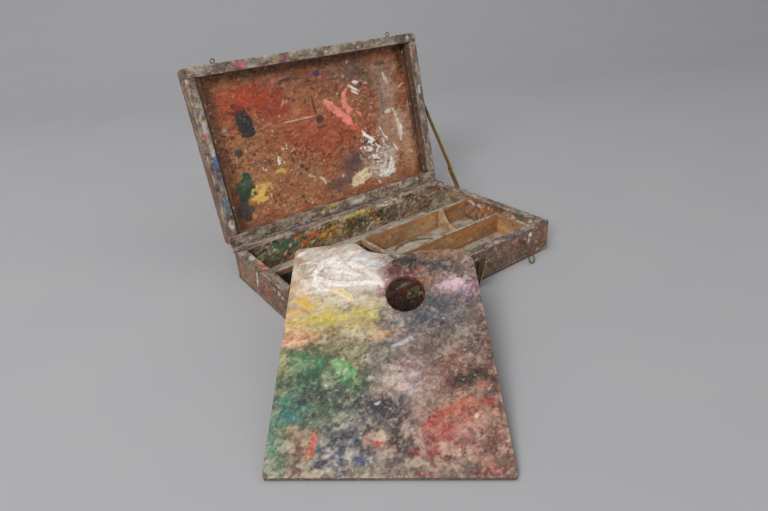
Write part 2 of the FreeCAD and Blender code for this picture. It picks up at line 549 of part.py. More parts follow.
corner_nails, lid_nails, bottom_nails, top_nails = [], [], [], []
k = 0
for sx in (-1, 1):
    for z in (14.0, 33.0):
        for sy in (-1, 1):
            k += 1
            corner_nails.append(nail("corner_nail_%d" % k, Vector(sx * (HL - W / 2), sy * HD, z), Vector(0, -sy, 0), 24.0))
    for z in (47.5, 56.0):
        for sy in (-1, 1):
            k += 1
            lid_nails.append(nail("lid_nail_%d" % k, Vector(sx * (HL - W / 2), sy * HD, z), Vector(0, -sy, 0), 22.0))
k = 0
for x in (-150.0, -50.0, 50.0, 150.0):
    for sy in (-1, 1):
        k += 1
        bottom_nails.append(nail("bottom_nail_%d" % k, Vector(x, sy * (HD - W / 2), 0), Vector(0, 0, 1), 18.0))
        top_nails.append(nail("top_nail_%d" % k, Vector(x, sy * (HD - W / 2), H + 0.3 + val("lid_rail_height") + val("lid_board")), Vector(0, 0, -1), 15.0))
node("base_corner_nails", group("base_corner_nails_group", corner_nails))
node("base_bottom_nails", group("base_bottom_nails_group", bottom_nails))
o = node("lid_corner_nails", group("lid_corner_nails_group", lid_nails))
o.Placement = opened
o = node("lid_board_nails", group("lid_board_nails_group", top_nails))
o.Placement = opened

# ---------------------------------------------------------------- palette
pt = math.radians(val("palette_turn"))
pl = math.radians(val("palette_tilt"))
ex = Vector(math.cos(pt), math.sin(pt), 0)
away = Vector(-math.sin(pt), math.cos(pt), 0)
up = away * math.cos(pl) + Vector(0, 0, 1) * math.sin(pl)
normal = ex.cross(up)
hwid, plen = val("palette_half"), val("palette_length")
pal = doc.addObject("PartDesign::Body", "palette_board_body")
sk = new_sketch(pal, "palette_outline", "XY_Plane")
r3 = 3.0
rt = 24.0
outline(sk, [
    Vector(-hwid + r3, 0, 0), ("line", Vector(hwid - r3, 0, 0)),
    ("arc", Vector(hwid - r3 + r3 * k45, r3 - r3 * k45, 0), Vector(hwid, r3, 0)),
    ("line", Vector(hwid - 13.1, plen - 34.5, 0)),
    ("arc", Vector(hwid - 20.4, plen - 18.2, 0), Vector(hwid - 38.0, plen - 11.5, 0)),
    ("line", Vector(28.2, plen - 12.2, 0)),
    ("arc", Vector(-1.6, plen - 16.4, 0), Vector(-29.9, plen - 10.0, 0)),
    ("line", Vector(-39.3, plen - 0.3, 0)),
    ("arc", Vector(-44.4, plen + 3.5, 0), Vector(-51.4, plen + 4.2, 0)),
    ("line", Vector(-hwid - 7.6, plen - 3.0, 0)),
    ("arc", Vector(-hwid - 11.2, plen - 5.5, 0), Vector(-hwid - 12.4, plen - 9.1, 0)),
    ("line", Vector(-hwid, r3, 0)),
    ("arc", Vector(-hwid + r3 - r3 * k45, r3 - r3 * k45, 0), Vector(-hwid + r3, 0, 0))])
pad(pal, sk, "dims.palette_thick", "palette_pad")
sk = new_sketch(pal, "thumb_hole", "XY_Plane", "dims.palette_thick")
tx, ty = val("thumb_x"), val("thumb_y")
sk.addGeometry(Part.Ellipse(Vector(tx, ty + val("thumb_half_length"), 0), Vector(tx + val("thumb_half_width"), ty, 0), Vector(tx, ty, 0)), False)
hole = pal.newObject("PartDesign::Pocket", "thumb_hole_cut")
hole.Profile = sk
hole.Type = 1
pal.Placement = Placement(Vector(val("palette_x"), val("palette_y"), 0), Rotation(ex, up, normal, "ZXY"))
node("palette_board", pal)

# ---------------------------------------------------------------- checks and files
doc.recompute()
for obj in doc.Objects:
    if "Invalid" in obj.State or "Error" in obj.State:
        raise RuntimeError("%s failed: %s" % (obj.Name, obj.State))
solid_count = 0
for label, obj in nodes:
    shape = obj.Shape
    if shape.isNull() or not shape.isValid() or len(shape.Solids) == 0:
        raise RuntimeError(label + " is not a valid solid")
    solid_count += len(shape.Solids)
outer = val("palette_thick") * 1.0
if abs(pal.Shape.Volume - 5.0 * 194 * 262) > 40000:
    raise RuntimeError("palette volume %.0f" % pal.Shape.Volume)
tin_block = (HL + val("cross_divider_x") - W - val("divider") / 2 - 1.0) * (HD - W + val("long_divider_y") - val("divider") / 2 - 1.0) * 22.0
if tin.Shape.Volume > 0.2 * tin_block:
    raise RuntimeError("the tin tray is not hollow")
os.makedirs("parts", exist_ok=True)
for label, obj in nodes:
    obj.Shape.exportStep("parts/%s.step" % label)
    b = obj.Shape.BoundBox
    print("%-26s solids %2d vol %9.0f  x %.1f %.1f  y %.1f %.1f  z %.1f %.1f" % (
        label, len(obj.Shape.Solids), obj.Shape.Volume, b.XMin, b.XMax, b.YMin, b.YMax, b.ZMin, b.ZMax))
print("nodes", len(nodes), "solids", solid_count)
print("stay: P_open", P_open, "P_shut", P_shut, "upper %.3f lower %.3f line %.3f" % (upper_len, lower_len, line_angle))
shut_angle = math.degrees(math.atan2(B.z - P_shut.z, B.y - P_shut.y))
print("stay turns: lower %.4f deg, upper relative to lid %.4f deg" % (shut_angle - line_angle, (shut_angle + 360.0) - (line_angle + 180.0) - val("lid_open_angle")))
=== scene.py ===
import math
import bpy
import bmesh
import numpy as np
from mathutils import Matrix, Vector


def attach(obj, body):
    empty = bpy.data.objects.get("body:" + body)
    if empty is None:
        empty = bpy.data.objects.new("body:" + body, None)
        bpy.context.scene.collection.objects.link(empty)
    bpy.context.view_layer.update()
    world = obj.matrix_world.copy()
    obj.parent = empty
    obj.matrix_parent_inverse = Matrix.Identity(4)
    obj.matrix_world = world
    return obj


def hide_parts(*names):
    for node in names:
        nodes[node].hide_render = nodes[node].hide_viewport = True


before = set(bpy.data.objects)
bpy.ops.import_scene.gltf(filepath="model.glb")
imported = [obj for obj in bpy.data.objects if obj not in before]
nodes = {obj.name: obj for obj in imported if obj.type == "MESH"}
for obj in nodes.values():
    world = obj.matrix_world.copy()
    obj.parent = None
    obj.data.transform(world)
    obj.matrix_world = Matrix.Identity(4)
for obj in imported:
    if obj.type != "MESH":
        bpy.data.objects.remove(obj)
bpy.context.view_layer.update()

MM = 0.001


# ------------------------------------------------------------------ camera
def unit(v):
    v = np.asarray(v, float)
    return v / np.linalg.norm(v)


az, el, roll = math.radians(-34.72), math.radians(27.79), math.radians(-4.26)
back = np.array([math.sin(az) * math.cos(el), -math.cos(az) * math.cos(el), math.sin(el)])
right = unit(np.cross(-back, [0, 0, 1]))
upv = np.cross(right, -back)
cam_r = math.cos(roll) * right + math.sin(roll) * upv
cam_u = -math.sin(roll) * right + math.cos(roll) * upv
cam_data = bpy.data.cameras.new("camera")
cam_data.sensor_width = 36.0
cam_data.lens = 25.54
cam_data.clip_start = 0.01
cam_data.clip_end = 50.0
cam = bpy.data.objects.new("camera", cam_data)
bpy.context.scene.collection.objects.link(cam)
cam.matrix_world = Matrix(((cam_r[0], cam_u[0], back[0], -0.3759),
                           (cam_r[1], cam_u[1], back[1], -0.51815),
                           (cam_r[2], cam_u[2], back[2], 0.3497),
                           (0, 0, 0, 1)))
bpy.context.scene.camera = cam

# ------------------------------------------------------------------ smooth noise on arrays
_tab2, _tab3 = {}, {}


def n2(x, y, seed):
    if seed not in _tab2:
        _tab2[seed] = np.random.RandomState(seed).rand(256, 256)
    t = _tab2[seed]
    xi, yi = np.floor(x).astype(int), np.floor(y).astype(int)
    fx, fy = x - xi, y - yi
    fx, fy = fx * fx * (3 - 2 * fx), fy * fy * (3 - 2 * fy)
    a, b = t[xi & 255, yi & 255], t[(xi + 1) & 255, yi & 255]
    c, d = t[xi & 255, (yi + 1) & 255], t[(xi + 1) & 255, (yi + 1) & 255]
    return (a * (1 - fx) + b * fx) * (1 - fy) + (c * (1 - fx) + d * fx) * fy


def fbm2(x, y, seed, octaves=4, gain=0.5):
    v, amp, tot = 0.0, 1.0, 0.0
    for k in range(octaves):
        v = v + amp * n2(x * 2.03 ** k + 17.3 * k, y * 2.03 ** k - 9.1 * k, seed + k)
        tot += amp
        amp *= gain
    return v / tot


def n3(p, seed):
    if seed not in _tab3:
        _tab3[seed] = np.random.RandomState(1000 + seed).rand(64, 64, 64)
    t = _tab3[seed]
    i = np.floor(p).astype(int)
    f = p - i
    f = f * f * (3 - 2 * f)
    i0, i1 = i & 63, (i + 1) & 63
    fx, fy, fz = f[:, 0], f[:, 1], f[:, 2]

    def g(a, b, c):
        return t[(i1 if a else i0)[:, 0], (i1 if b else i0)[:, 1], (i1 if c else i0)[:, 2]]
    x0 = g(0, 0, 0) * (1 - fx) + g(1, 0, 0) * fx
    x1 = g(0, 1, 0) * (1 - fx) + g(1, 1, 0) * fx
    x2 = g(0, 0, 1) * (1 - fx) + g(1, 0, 1) * fx
    x3 = g(0, 1, 1) * (1 - fx) + g(1, 1, 1) * fx
    return (x0 * (1 - fy) + x1 * fy) * (1 - fz) + (x2 * (1 - fy) + x3 * fy) * fz


def fbm3(p, seed, octaves=4, gain=0.5):
    v, amp, tot = 0.0, 1.0, 0.0
    for k in range(octaves):
        v = v + amp * n3(p * 2.03 ** k + 11.7 * k, seed + k)
        tot += amp
        amp *= gain
    return v / tot


def smooth(a, b, x):
    t = np.clip((x - a) / (b - a), 0, 1)
    return t * t * (3 - 2 * t)


def lin(c):
    c = np.asarray(c, float) / 255.0
    return np.where(c <= 0.04045, c / 12.92, ((c + 0.055) / 1.055) ** 2.4)


# ------------------------------------------------------------------ dried paint laid on a set of surface points
class Coat:
    """Paint on points that have plane coordinates x, y in millimetres: colour, cover and thickness."""

    def __init__(self, x, y, mask=None):
        self.x, self.y = np.asarray(x, float), np.asarray(y, float)
        n = len(self.x)
        self.rgb = np.zeros((n, 3))
        self.cov = np.zeros(n)
        self.h = np.zeros(n)
        self.mask = np.ones(n) if mask is None else mask.astype(float)

    def _lay(self, idx, m, colour, h, lift, tone):
        c = lin(colour) * tone[:, None]
        m = np.clip(m * self.mask[idx], 0, 1)
        keep = self.cov[idx] * (1 - m)
        tot = keep + m
        w = np.where(tot > 1e-6, m / np.maximum(tot, 1e-6), 0)[:, None]
        self.rgb[idx] = self.rgb[idx] * (1 - w) + c * w
        self.cov[idx] = tot
        self.h[idx] = self.h[idx] * (1 - 0.5 * m) + h * m * lift

    def daub(self, cx, cy, rx, ry, colour, rot=0.0, cover=1.0, h=0.2, ragged=0.35, edge=0.35, streak=0.25, seed=1, vary=0.12):
        rr = 1.7 * max(rx, ry)
        idx = np.nonzero((np.abs(self.x - cx) < rr) & (np.abs(self.y - cy) < rr))[0]
        if len(idx) == 0:
            return
        x, y = self.x[idx] - cx, self.y[idx] - cy
        a = math.radians(rot)
        u, v = x * math.cos(a) + y * math.sin(a), -x * math.sin(a) + y * math.cos(a)
        s = max(2.0, 0.45 * min(rx, ry))
        wob = fbm2(self.x[idx] / s, self.y[idx] / s, seed, 4) - 0.5
        r = np.hypot(u / rx, v / ry) + ragged * 2.2 * wob
        m = 1 - smooth(1 - edge, 1 + 0.04, r)
        st = fbm2(u / 9.0 + seed, v / 1.3, seed + 5, 3)
        m = m * (1 - streak * smooth(0.45, 0.75, st)) * cover
        tone = 1 + vary * 2 * (fbm2(self.x[idx] / 3.0, self.y[idx] / 3.0, seed + 9, 3) - 0.5)
        self._lay(idx, m, colour, h, 0.55 + 0.9 * st, tone)

    def stroke(self, pts, width, colour, cover=1.0, h=0.5, ragged=0.3, streak=0.4, seed=1, vary=0.14, taper=0.35):
        pts = np.asarray(pts, float)
        lo, hi = pts.min(0) - width * 1.3, pts.max(0) + width * 1.3
        idx = np.nonzero((self.x > lo[0]) & (self.x < hi[0]) & (self.y > lo[1]) & (self.y < hi[1]))[0]
        if len(idx) == 0:
            return
        x, y = self.x[idx], self.y[idx]
        best = np.full(len(idx), 1e9)
        along, side = np.zeros(len(idx)), np.zeros(len(idx))
        run = 0.0
        total = sum(np.linalg.norm(pts[k + 1] - pts[k]) for k in range(len(pts) - 1))
        for k in range(len(pts) - 1):
            d = pts[k + 1] - pts[k]
            L = max(np.linalg.norm(d), 1e-6)
            e = d / L
            t = np.clip(((x - pts[k][0]) * e[0] + (y - pts[k][1]) * e[1]), 0, L)
            px, py = pts[k][0] + e[0] * t, pts[k][1] + e[1] * t
            dist = np.hypot(x - px, y - py)
            hit = dist < best
            best = np.where(hit, dist, best)
            along = np.where(hit, run + t, along)
            side = np.where(hit, (x - px) * -e[1] + (y - py) * e[0], side)
            run += L
        q = along / max(total, 1e-6)
        w = width * 0.5 * (1 - taper * np.abs(2 * q - 1) ** 2)
        wob = fbm2(x / 3.5, y / 3.5, seed, 3) - 0.5
        r = best / w + ragged * 1.8 * wob
        m = 1 - smooth(0.72, 1.04, r)
        st = fbm2(along / 11.0 + seed, side / 0.9 + 3.1, seed + 4, 3)
        m = m * (1 - streak * smooth(0.5, 0.8, st)) * cover
        ridge = 0.6 + 0.8 * st + 0.35 * smooth(0.45, 0.85, r)
        tone = 1 + vary * 2 * (st - 0.5)
        self._lay(idx, m, colour, h, ridge, tone)

    def speckle(self, colour, size, amount, weight=1.0, cover=0.9, h=0.15, seed=1, stretch=(1.0, 1.0), vary=0.15, octaves=3):
        f = fbm2(self.x / (size * stretch[0]), self.y / (size * stretch[1]), seed, octaves)
        cut = np.quantile(f, 1 - amount)
        m = smooth(cut - 0.015, cut + 0.045, f) * weight * cover
        tone = 1 + vary * 2 * (fbm2(self.x / 2.1, self.y / 2.1, seed + 31, 2) - 0.5)
        self._lay(np.arange(len(self.x)), m, colour, h, np.ones(len(self.x)), tone)


# ------------------------------------------------------------------ meshes
def make_object(name, verts, faces, paint=None, pc=None, smooth_faces=True):
    mesh = bpy.data.meshes.new(name)
    verts = np.asarray(verts, np.float64) * MM
    loops = [len(f) for f in faces] if isinstance(faces, list) else None
    mesh.vertices.add(len(verts))
    mesh.vertices.foreach_set("co", verts.astype(np.float32).ravel())
    if loops is None:
        k = faces.shape[1]
        mesh.loops.add(faces.size)
        mesh.loops.foreach_set("vertex_index", faces.astype(np.int32).ravel())
        mesh.polygons.add(len(faces))
        mesh.polygons.foreach_set("loop_start", np.arange(0, faces.size, k, dtype=np.int32))
    else:
        flat = np.concatenate([np.asarray(f, np.int32) for f in faces])
        starts = np.concatenate([[0], np.cumsum(loops)[:-1]]).astype(np.int32)
        mesh.loops.add(len(flat))
        mesh.loops.foreach_set("vertex_index", flat)
        mesh.polygons.add(len(faces))
        mesh.polygons.foreach_set("loop_start", starts)
    mesh.update(calc_edges=True)
    mesh.validate()
    if smooth_faces:
        mesh.polygons.foreach_set("use_smooth", np.ones(len(mesh.polygons), bool))
    if paint is not None:
        a = mesh.attributes.new("paint", "FLOAT_COLOR", "POINT")
        a.data.foreach_set("color", np.clip(paint, 0, 4).astype(np.float32).ravel())
    if pc is not None:
        a = mesh.attributes.new("pc", "FLOAT_VECTOR", "POINT")
        a.data.foreach_set("vector", np.asarray(pc, np.float32).ravel())
    obj = bpy.data.objects.new(name, mesh)
    bpy.context.scene.collection.objects.link(obj)
    return obj


def ticks(lo, hi, step, r):
    n = max(1, int(round((hi - lo - 2 * r) / step)))
    inner = np.linspace(lo + r, hi - r, n + 1)
    return np.concatenate([[lo, lo + 0.28 * r, lo + 0.62 * r], inner, [hi - 0.62 * r, hi - 0.28 * r, hi]])


def box_grid(X, Y, Z):
    nx, ny, nz = len(X), len(Y), len(Z)
    surf = np.zeros((nx, ny, nz), bool)
    surf[[0, -1]] = True
    surf[:, [0, -1]] = True
    surf[:, :, [0, -1]] = True
    index = np.full((nx, ny, nz), -1)
    index[surf] = np.arange(surf.sum())
    ii, jj, kk = np.nonzero(surf)
    verts = np.stack([X[ii], Y[jj], Z[kk]], 1)

    def quads(a, flip):
        q = np.stack([a[:-1, :-1], a[1:, :-1], a[1:, 1:], a[:-1, 1:]], -1).reshape(-1, 4)
        return q[:, ::-1] if flip else q
    faces = np.concatenate([
        quads(index[:, :, 0], True), quads(index[:, :, -1], False),
        quads(index[:, 0, :], False), quads(index[:, -1, :], True),
        quads(index[0, :, :], True), quads(index[-1, :, :], False)])
    return verts, faces


def soften(V, lo, hi, r, big=None):
    """Rounds the upright corners of a box of points; r is not used; big is ((sx, sy), R) for upright corners of radius
    R.
    """
    V = V.copy()
    if big:
        for (sx, sy), R in big:
            cx = hi[0] - R if sx > 0 else lo[0] + R
            cy = hi[1] - R if sy > 0 else lo[1] + R
            dx, dy = V[:, 0] - cx, V[:, 1] - cy
            inside = (dx * sx > 0) & (dy * sy > 0)
            m = np.maximum(np.abs(dx), np.abs(dy))
            h = np.hypot(dx, dy)
            k = np.where(inside & (h > 1e-9), m / np.maximum(h, 1e-9), 1)
            V[:, 0] = np.where(inside, cx + dx * k, V[:, 0])
            V[:, 1] = np.where(inside, cy + dy * k, V[:, 1])
    return V


def edge_round(V, lo, hi, r):
    lo, hi = np.asarray(lo, float), np.asarray(hi, float)
    inner = np.clip(V, lo + r, hi - r)
    d = V - inner
    n = np.linalg.norm(d, axis=1)
    nor = d / np.maximum(n, 1e-9)[:, None]
    return inner + nor * r, nor


hinge = np.array([0.0, 113.3, 42.15])
OPEN = math.radians(-100.73)


def opened(V):
    """Closed-lid coordinates to the open lid at rest."""
    c, s = math.cos(OPEN), math.sin(OPEN)
    P = V - hinge
    out = P.copy()
    out[:, 1] = P[:, 1] * c - P[:, 2] * s
    out[:, 2] = P[:, 1] * s + P[:, 2] * c
    return out + hinge


FILMS = {   # large soft films of colour, then how far wood shows
    "outside": [(124, 90, 74), (150, 128, 110), (104, 74, 66), (132, 104, 96), (96, 78, 68)],
    "rim": [(158, 146, 130), (128, 108, 92), (176, 164, 148), (112, 88, 76), (146, 128, 116)],
    "inside": [(170, 122, 78), (146, 108, 74), (128, 110, 86), (158, 140, 112), (110, 88, 66)],
    "lid": [(164, 98, 64), (150, 86, 56), (172, 108, 70), (142, 92, 66), (156, 84, 58)],
    "palette": [(176, 158, 136), (150, 132, 114), (132, 118, 104), (168, 140, 116), (120, 104, 92)]}
FLECKS = [((206, 194, 178), 2.6, .022), ((44, 38, 36), 3.0, .05), ((58, 96, 78), 4.0, .016), ((164, 66, 50), 3.4, .022), ((190, 146, 66), 3.4, .02),
          ((66, 84, 128), 2.8, .008), ((196, 132, 128), 3.2, .012), ((120, 124, 126), 4.5, .03)]


def crust(P, rgb, h, amount, seed, tip=(204, 192, 176), pit=(48, 42, 42), size=2.3, local=.35):
    """Broken fine crust: pale tips and dark pits, both as colour and as relief."""
    Q = P + 1.6 * np.stack([fbm3(P / 5.0 + 40 * k, seed + 60 + k, 2) - .5 for k in range(3)], 1) * 2
    f = fbm3(Q / size, seed + 64, 3, .6)
    sd_ = f.std() + 1e-6
    f = (f - f.mean()) / sd_
    up_, dn = smooth(.35, 1.5, f), smooth(-.25, -1.5, f)
    a = np.clip(amount, 0, 1)
    w = (up_ * a * .62)[:, None]
    tips = lin(tip) * (1 - local) + np.clip(rgb * 1.75 + .02, 0, .85) * local
    pits = lin(pit) * (1 - local) + rgb * .30 * local
    rgb = rgb * (1 - w) + tips * w
    w = (dn * a * .80)[:, None]
    rgb = rgb * (1 - w) + pits * w
    return rgb, h + a * (.34 * up_ - .22 * dn)


def smear(P, rgb, h, amount, seed, ang=0.0, tip=(196, 182, 160), pit=(62, 52, 48), size=(7.0, 1.5)):
    """Long scraped streaks lying along one direction of the surface."""
    a = math.radians(ang)
    u, v = P[:, 0] * math.cos(a) + P[:, 1] * math.sin(a), -P[:, 0] * math.sin(a) + P[:, 1] * math.cos(a)
    bend = 5.0 * (fbm2(P[:, 0] / 24.0, P[:, 1] / 24.0, seed + 2, 3) - .5)
    f = fbm2(u / size[0], (v + bend * 3) / size[1], seed + 3, 3, .6)
    f = (f - f.mean()) / (f.std() + 1e-6)
    up_, dn = smooth(.3, 1.6, f), smooth(-.3, -1.6, f)
    w = (up_ * amount * .6)[:, None]
    tips = lin(tip) * .45 + np.clip(rgb * 1.7 + .02, 0, .85) * .55
    rgb = rgb * (1 - w) + tips * w
    w = (dn * amount * .7)[:, None]
    rgb = rgb * (1 - w) + (lin(pit) * .5 + rgb * .15) * w
    return rgb, h + amount * (.28 * up_ - .12 * dn)


def contrast(rgb, k):
    """Spreads tones round their local grey without moving the average far."""
    g = rgb.mean(1, keepdims=True)
    m = g.mean()
    return np.clip((rgb - g) * (1 + .5 * (k - 1)) + (g / m) ** k * m, 0.004, 1.0)


def grime(P, seed, cover=0.8, kind="outside", light=1.0, rough=.5, flecks=1.0):
    """Years of smeared paint over a board: returns colour, cover and thickness for points P in mm."""
    n = len(P)
    cols = FILMS[kind]
    rgb = np.tile(lin(cols[0]), (n, 1))
    for k, c in enumerate(cols[1:]):
        f = fbm3(P / np.array([26.0, 26.0, 14.0]) + 31 * k, seed * 7 + 13 * k + 1, 4)
        w = smooth(.46, .62, f)[:, None]
        rgb = rgb * (1 - w) + lin(c) * w
    cov = np.clip(.25 + 1.1 * (fbm3(P / 18.0, seed + 3, 4) - .28), 0, 1) * cover
    h = .10 * cov
    am = rough * np.clip(.35 + 1.5 * (fbm3(P / 22.0, seed + 8, 3) - .32), 0, 1)
    rgb, h = crust(P, rgb * light, h, am, seed)
    cov = np.clip(cov + .3 * am, 0, 1)
    for k, (c, size, share) in enumerate(FLECKS):
        f = fbm3(P / size, seed * 5 + 17 * k + 2, 4, .6)
        share = share * flecks
        if share <= 0:
            continue
        cut = np.quantile(f, 1 - share)
        m = smooth(cut, cut + .03, f) * .9
        rgb = rgb * (1 - m[:, None]) + lin(c) * m[:, None]
        cov = np.maximum(cov, m)
        h = h + m * .22
    return rgb, cov, h


def board(name, lo, hi, body, node, mat, slot, seed, step=1.7, r=1.1, big=None, grain=0, lid=False,
          cover=0.75, kind="outside", light=1.0, painters=(), relief=1.0, warp=0.14, rough=.5, flecks=1.0, limits=()):
    """A worn board as one closed mesh with soft edges, dried paint as colour and as relief."""
    lo, hi = np.array(lo, float), np.array(hi, float)
    V, F = box_grid(*[ticks(lo[k], hi[k], step, min(r, (hi[k] - lo[k]) / 2.4)) for k in range(3)])
    V, N = edge_round(V, lo, hi, r)
    flat_ = V.copy()
    V = soften(V, lo, hi, r, big)
    rgb, cov, h = grime(V, seed, cover, kind, light, rough, flecks)
    if kind in ("outside", "rim"):
        lf = fbm3(V / np.array([17., 17., 13.]), seed + 61, 3)
        lf = (lf - lf.mean()) / max(lf.std(), 1e-6)
        w = (smooth(.2, 1.5, lf) * .58)[:, None]
        rgb = rgb * (1 - w) + lin((62, 44, 40)) * w
        w = (smooth(-.3, -1.6, lf) * .55)[:, None]
        rgb = rgb * (1 - w) + lin((190, 174, 152)) * w
        mf = fbm3(V / np.array([6., 6., 5.]) + 9, seed + 67, 3)
        mf = (mf - mf.mean()) / max(mf.std(), 1e-6)
        w = (smooth(.6, 1.5, mf) * .45)[:, None]
        rgb = rgb * (1 - w) + lin(((150, 78, 64), (84, 96, 80), (92, 80, 100))[seed % 3]) * w
        srt = np.sort(np.abs(N), axis=1)
        worn = smooth(.30, .62, srt[:, 1]) * np.clip(.25 + 1.5 * (fbm2(V[:, 0] / 9 + V[:, 2] / 7, V[:, 1] / 9, seed + 40, 3) - .3), 0, .75)
        rgb = rgb * (1 - worn)[:, None] + lin((178, 160, 134)) * worn[:, None]
    if kind == "lid":
        edge_ = smooth(.45, .85, np.maximum(np.abs(N[:, 0]), np.abs(N[:, 1])))
        rgb = rgb * (1 - .8 * edge_[:, None]) + lin((116, 92, 76)) * .8 * edge_[:, None]
        cov = np.maximum(cov, .9 * edge_)
        top_ = smooth(.45, .85, N[:, 2])
        rgb = rgb * (1 - .6 * top_[:, None]) + lin((118, 86, 66)) * .6 * top_[:, None]
    for face, axes, fn in painters:
        ax, sgn = "xyz".index(face[1]), (1 if face[0] == "+" else -1)
        on = smooth(0.45, 0.85, N[:, ax] * sgn)
        idx = np.nonzero(on > 0.02)[0]
        c = Coat(V[idx, axes[0]], V[idx, axes[1]], on[idx])
        c.P = V[idx]
        c.rgb, c.cov, c.h = rgb[idx], cov[idx], h[idx]
        fn(c)
        rgb[idx], cov[idx], h[idx] = c.rgb, c.cov, c.h
    # knocked edges: darker, greasy
    inner = np.sort(np.minimum(flat_ - lo, hi - flat_), axis=1)
    near_edge = smooth(3.2, .2, inner[:, 1])
    wear = near_edge * smooth(.42, .62, fbm3(V / 5.0, seed + 90, 3))
    rgb = rgb * (1 - .45 * wear[:, None])
    lump = fbm3(V / 7.0, seed + 71, 3) - 0.5
    dent = -.5 * near_edge * smooth(.60, .74, fbm3(V / 8.0, seed + 95, 3))
    D = relief * h + warp * 2 * lump + 0.10 * relief * (n3(V / 1.6, seed + 80) - 0.5) + dent
    # faces that meet another part keep their paint thin
    for face, most in limits:
        ax, sgn = "xyz".index(face[1]), (1 if face[0] == "+" else -1)
        D = np.where(N[:, ax] * sgn > .05, np.minimum(D, most), D)
    W = V + N * np.clip(D, -0.7, 1.6)[:, None]
    pc = (V - lo)
    if grain == 1:
        pc = pc[:, [1, 0, 2]]
    elif grain == 2:
        pc = pc[:, [2, 1, 0]]
    pc = pc + np.array([seed * 37.0, seed * 11.0, seed * 5.0])
    if lid:
        W = opened(W)
    o = make_object(name, W, F, np.concatenate([rgb, cov[:, None]], 1), pc)
    o.data.materials.append(mat)
    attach(o, body)
    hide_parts(node)
    return o


# ------------------------------------------------------------------ materials
def new_mat(name):
    m = bpy.data.materials.new(name)
    m.use_nodes = True
    nt = m.node_tree
    nt.nodes.clear()
    out = nt.nodes.new("ShaderNodeOutputMaterial")
    b = nt.nodes.new("ShaderNodeBsdfPrincipled")
    nt.links.new(b.outputs[0], out.inputs[0])
    return m, nt, b


def noise(nt, vec, scale, detail=3.0, rough=0.55, dist=0.0):
    n = nt.nodes.new("ShaderNodeTexNoise")
    n.inputs["Scale"].default_value = scale
    n.inputs["Detail"].default_value = detail
    n.inputs["Roughness"].default_value = rough
    n.inputs["Distortion"].default_value = dist
    nt.links.new(vec, n.inputs["Vector"])
    return n.outputs["Fac"]


def ramp(nt, fac, stops, interp="LINEAR"):
    r = nt.nodes.new("ShaderNodeValToRGB")
    r.color_ramp.interpolation = interp
    el_ = r.color_ramp.elements
    while len(el_) < len(stops):
        el_.new(0.5)
    for e, (p, c) in zip(el_, stops):
        e.position = p
        c = lin(c) if isinstance(c, tuple) else np.array([c, c, c])
        e.color = (float(c[0]), float(c[1]), float(c[2]), 1)
    nt.links.new(fac, r.inputs[0])
    return r.outputs[0]


def mix(nt, fac, a, b, blend="MIX"):
    m = nt.nodes.new("ShaderNodeMix")
    m.data_type = "RGBA"
    m.blend_type = blend
    for sock, v in ((m.inputs["Factor"], fac), (m.inputs[6], a), (m.inputs[7], b)):
        if isinstance(v, (int, float)):
            sock.default_value = v
        elif isinstance(v, tuple):
            c = lin(v)
            sock.default_value = (float(c[0]), float(c[1]), float(c[2]), 1)
        else:
            nt.links.new(v, sock)
    return m.outputs[2]


def maths(nt, op, a, b=0.0):
    m = nt.nodes.new("ShaderNodeMath")
    m.operation = op
    for sock, v in ((m.inputs[0], a), (m.inputs[1], b)):
        if isinstance(v, (int, float)):
            sock.default_value = v
        else:
            nt.links.new(v, sock)
    return m.outputs[0]


def maprange(nt, v, a, b, c, d):
    m = nt.nodes.new("ShaderNodeMapRange")
    nt.links.new(v, m.inputs[0])
    for k, q in zip((1, 2, 3, 4), (a, b, c, d)):
        m.inputs[k].default_value = q
    return m.outputs[0]


def coords(nt, use_pc, stretch=(1, 1, 1)):
    if use_pc:
        a = nt.nodes.new("ShaderNodeAttribute")
        a.attribute_type = "GEOMETRY"
        a.attribute_name = "pc"
        v = a.outputs["Vector"]
        k = 1.0
    else:
        v = nt.nodes.new("ShaderNodeTexCoord").outputs["Object"]
        k = 1000.0
    mp = nt.nodes.new("ShaderNodeMapping")
    mp.inputs["Scale"].default_value = (k * stretch[0], k * stretch[1], k * stretch[2])
    nt.links.new(v, mp.inputs["Vector"])
    return mp.outputs[0]


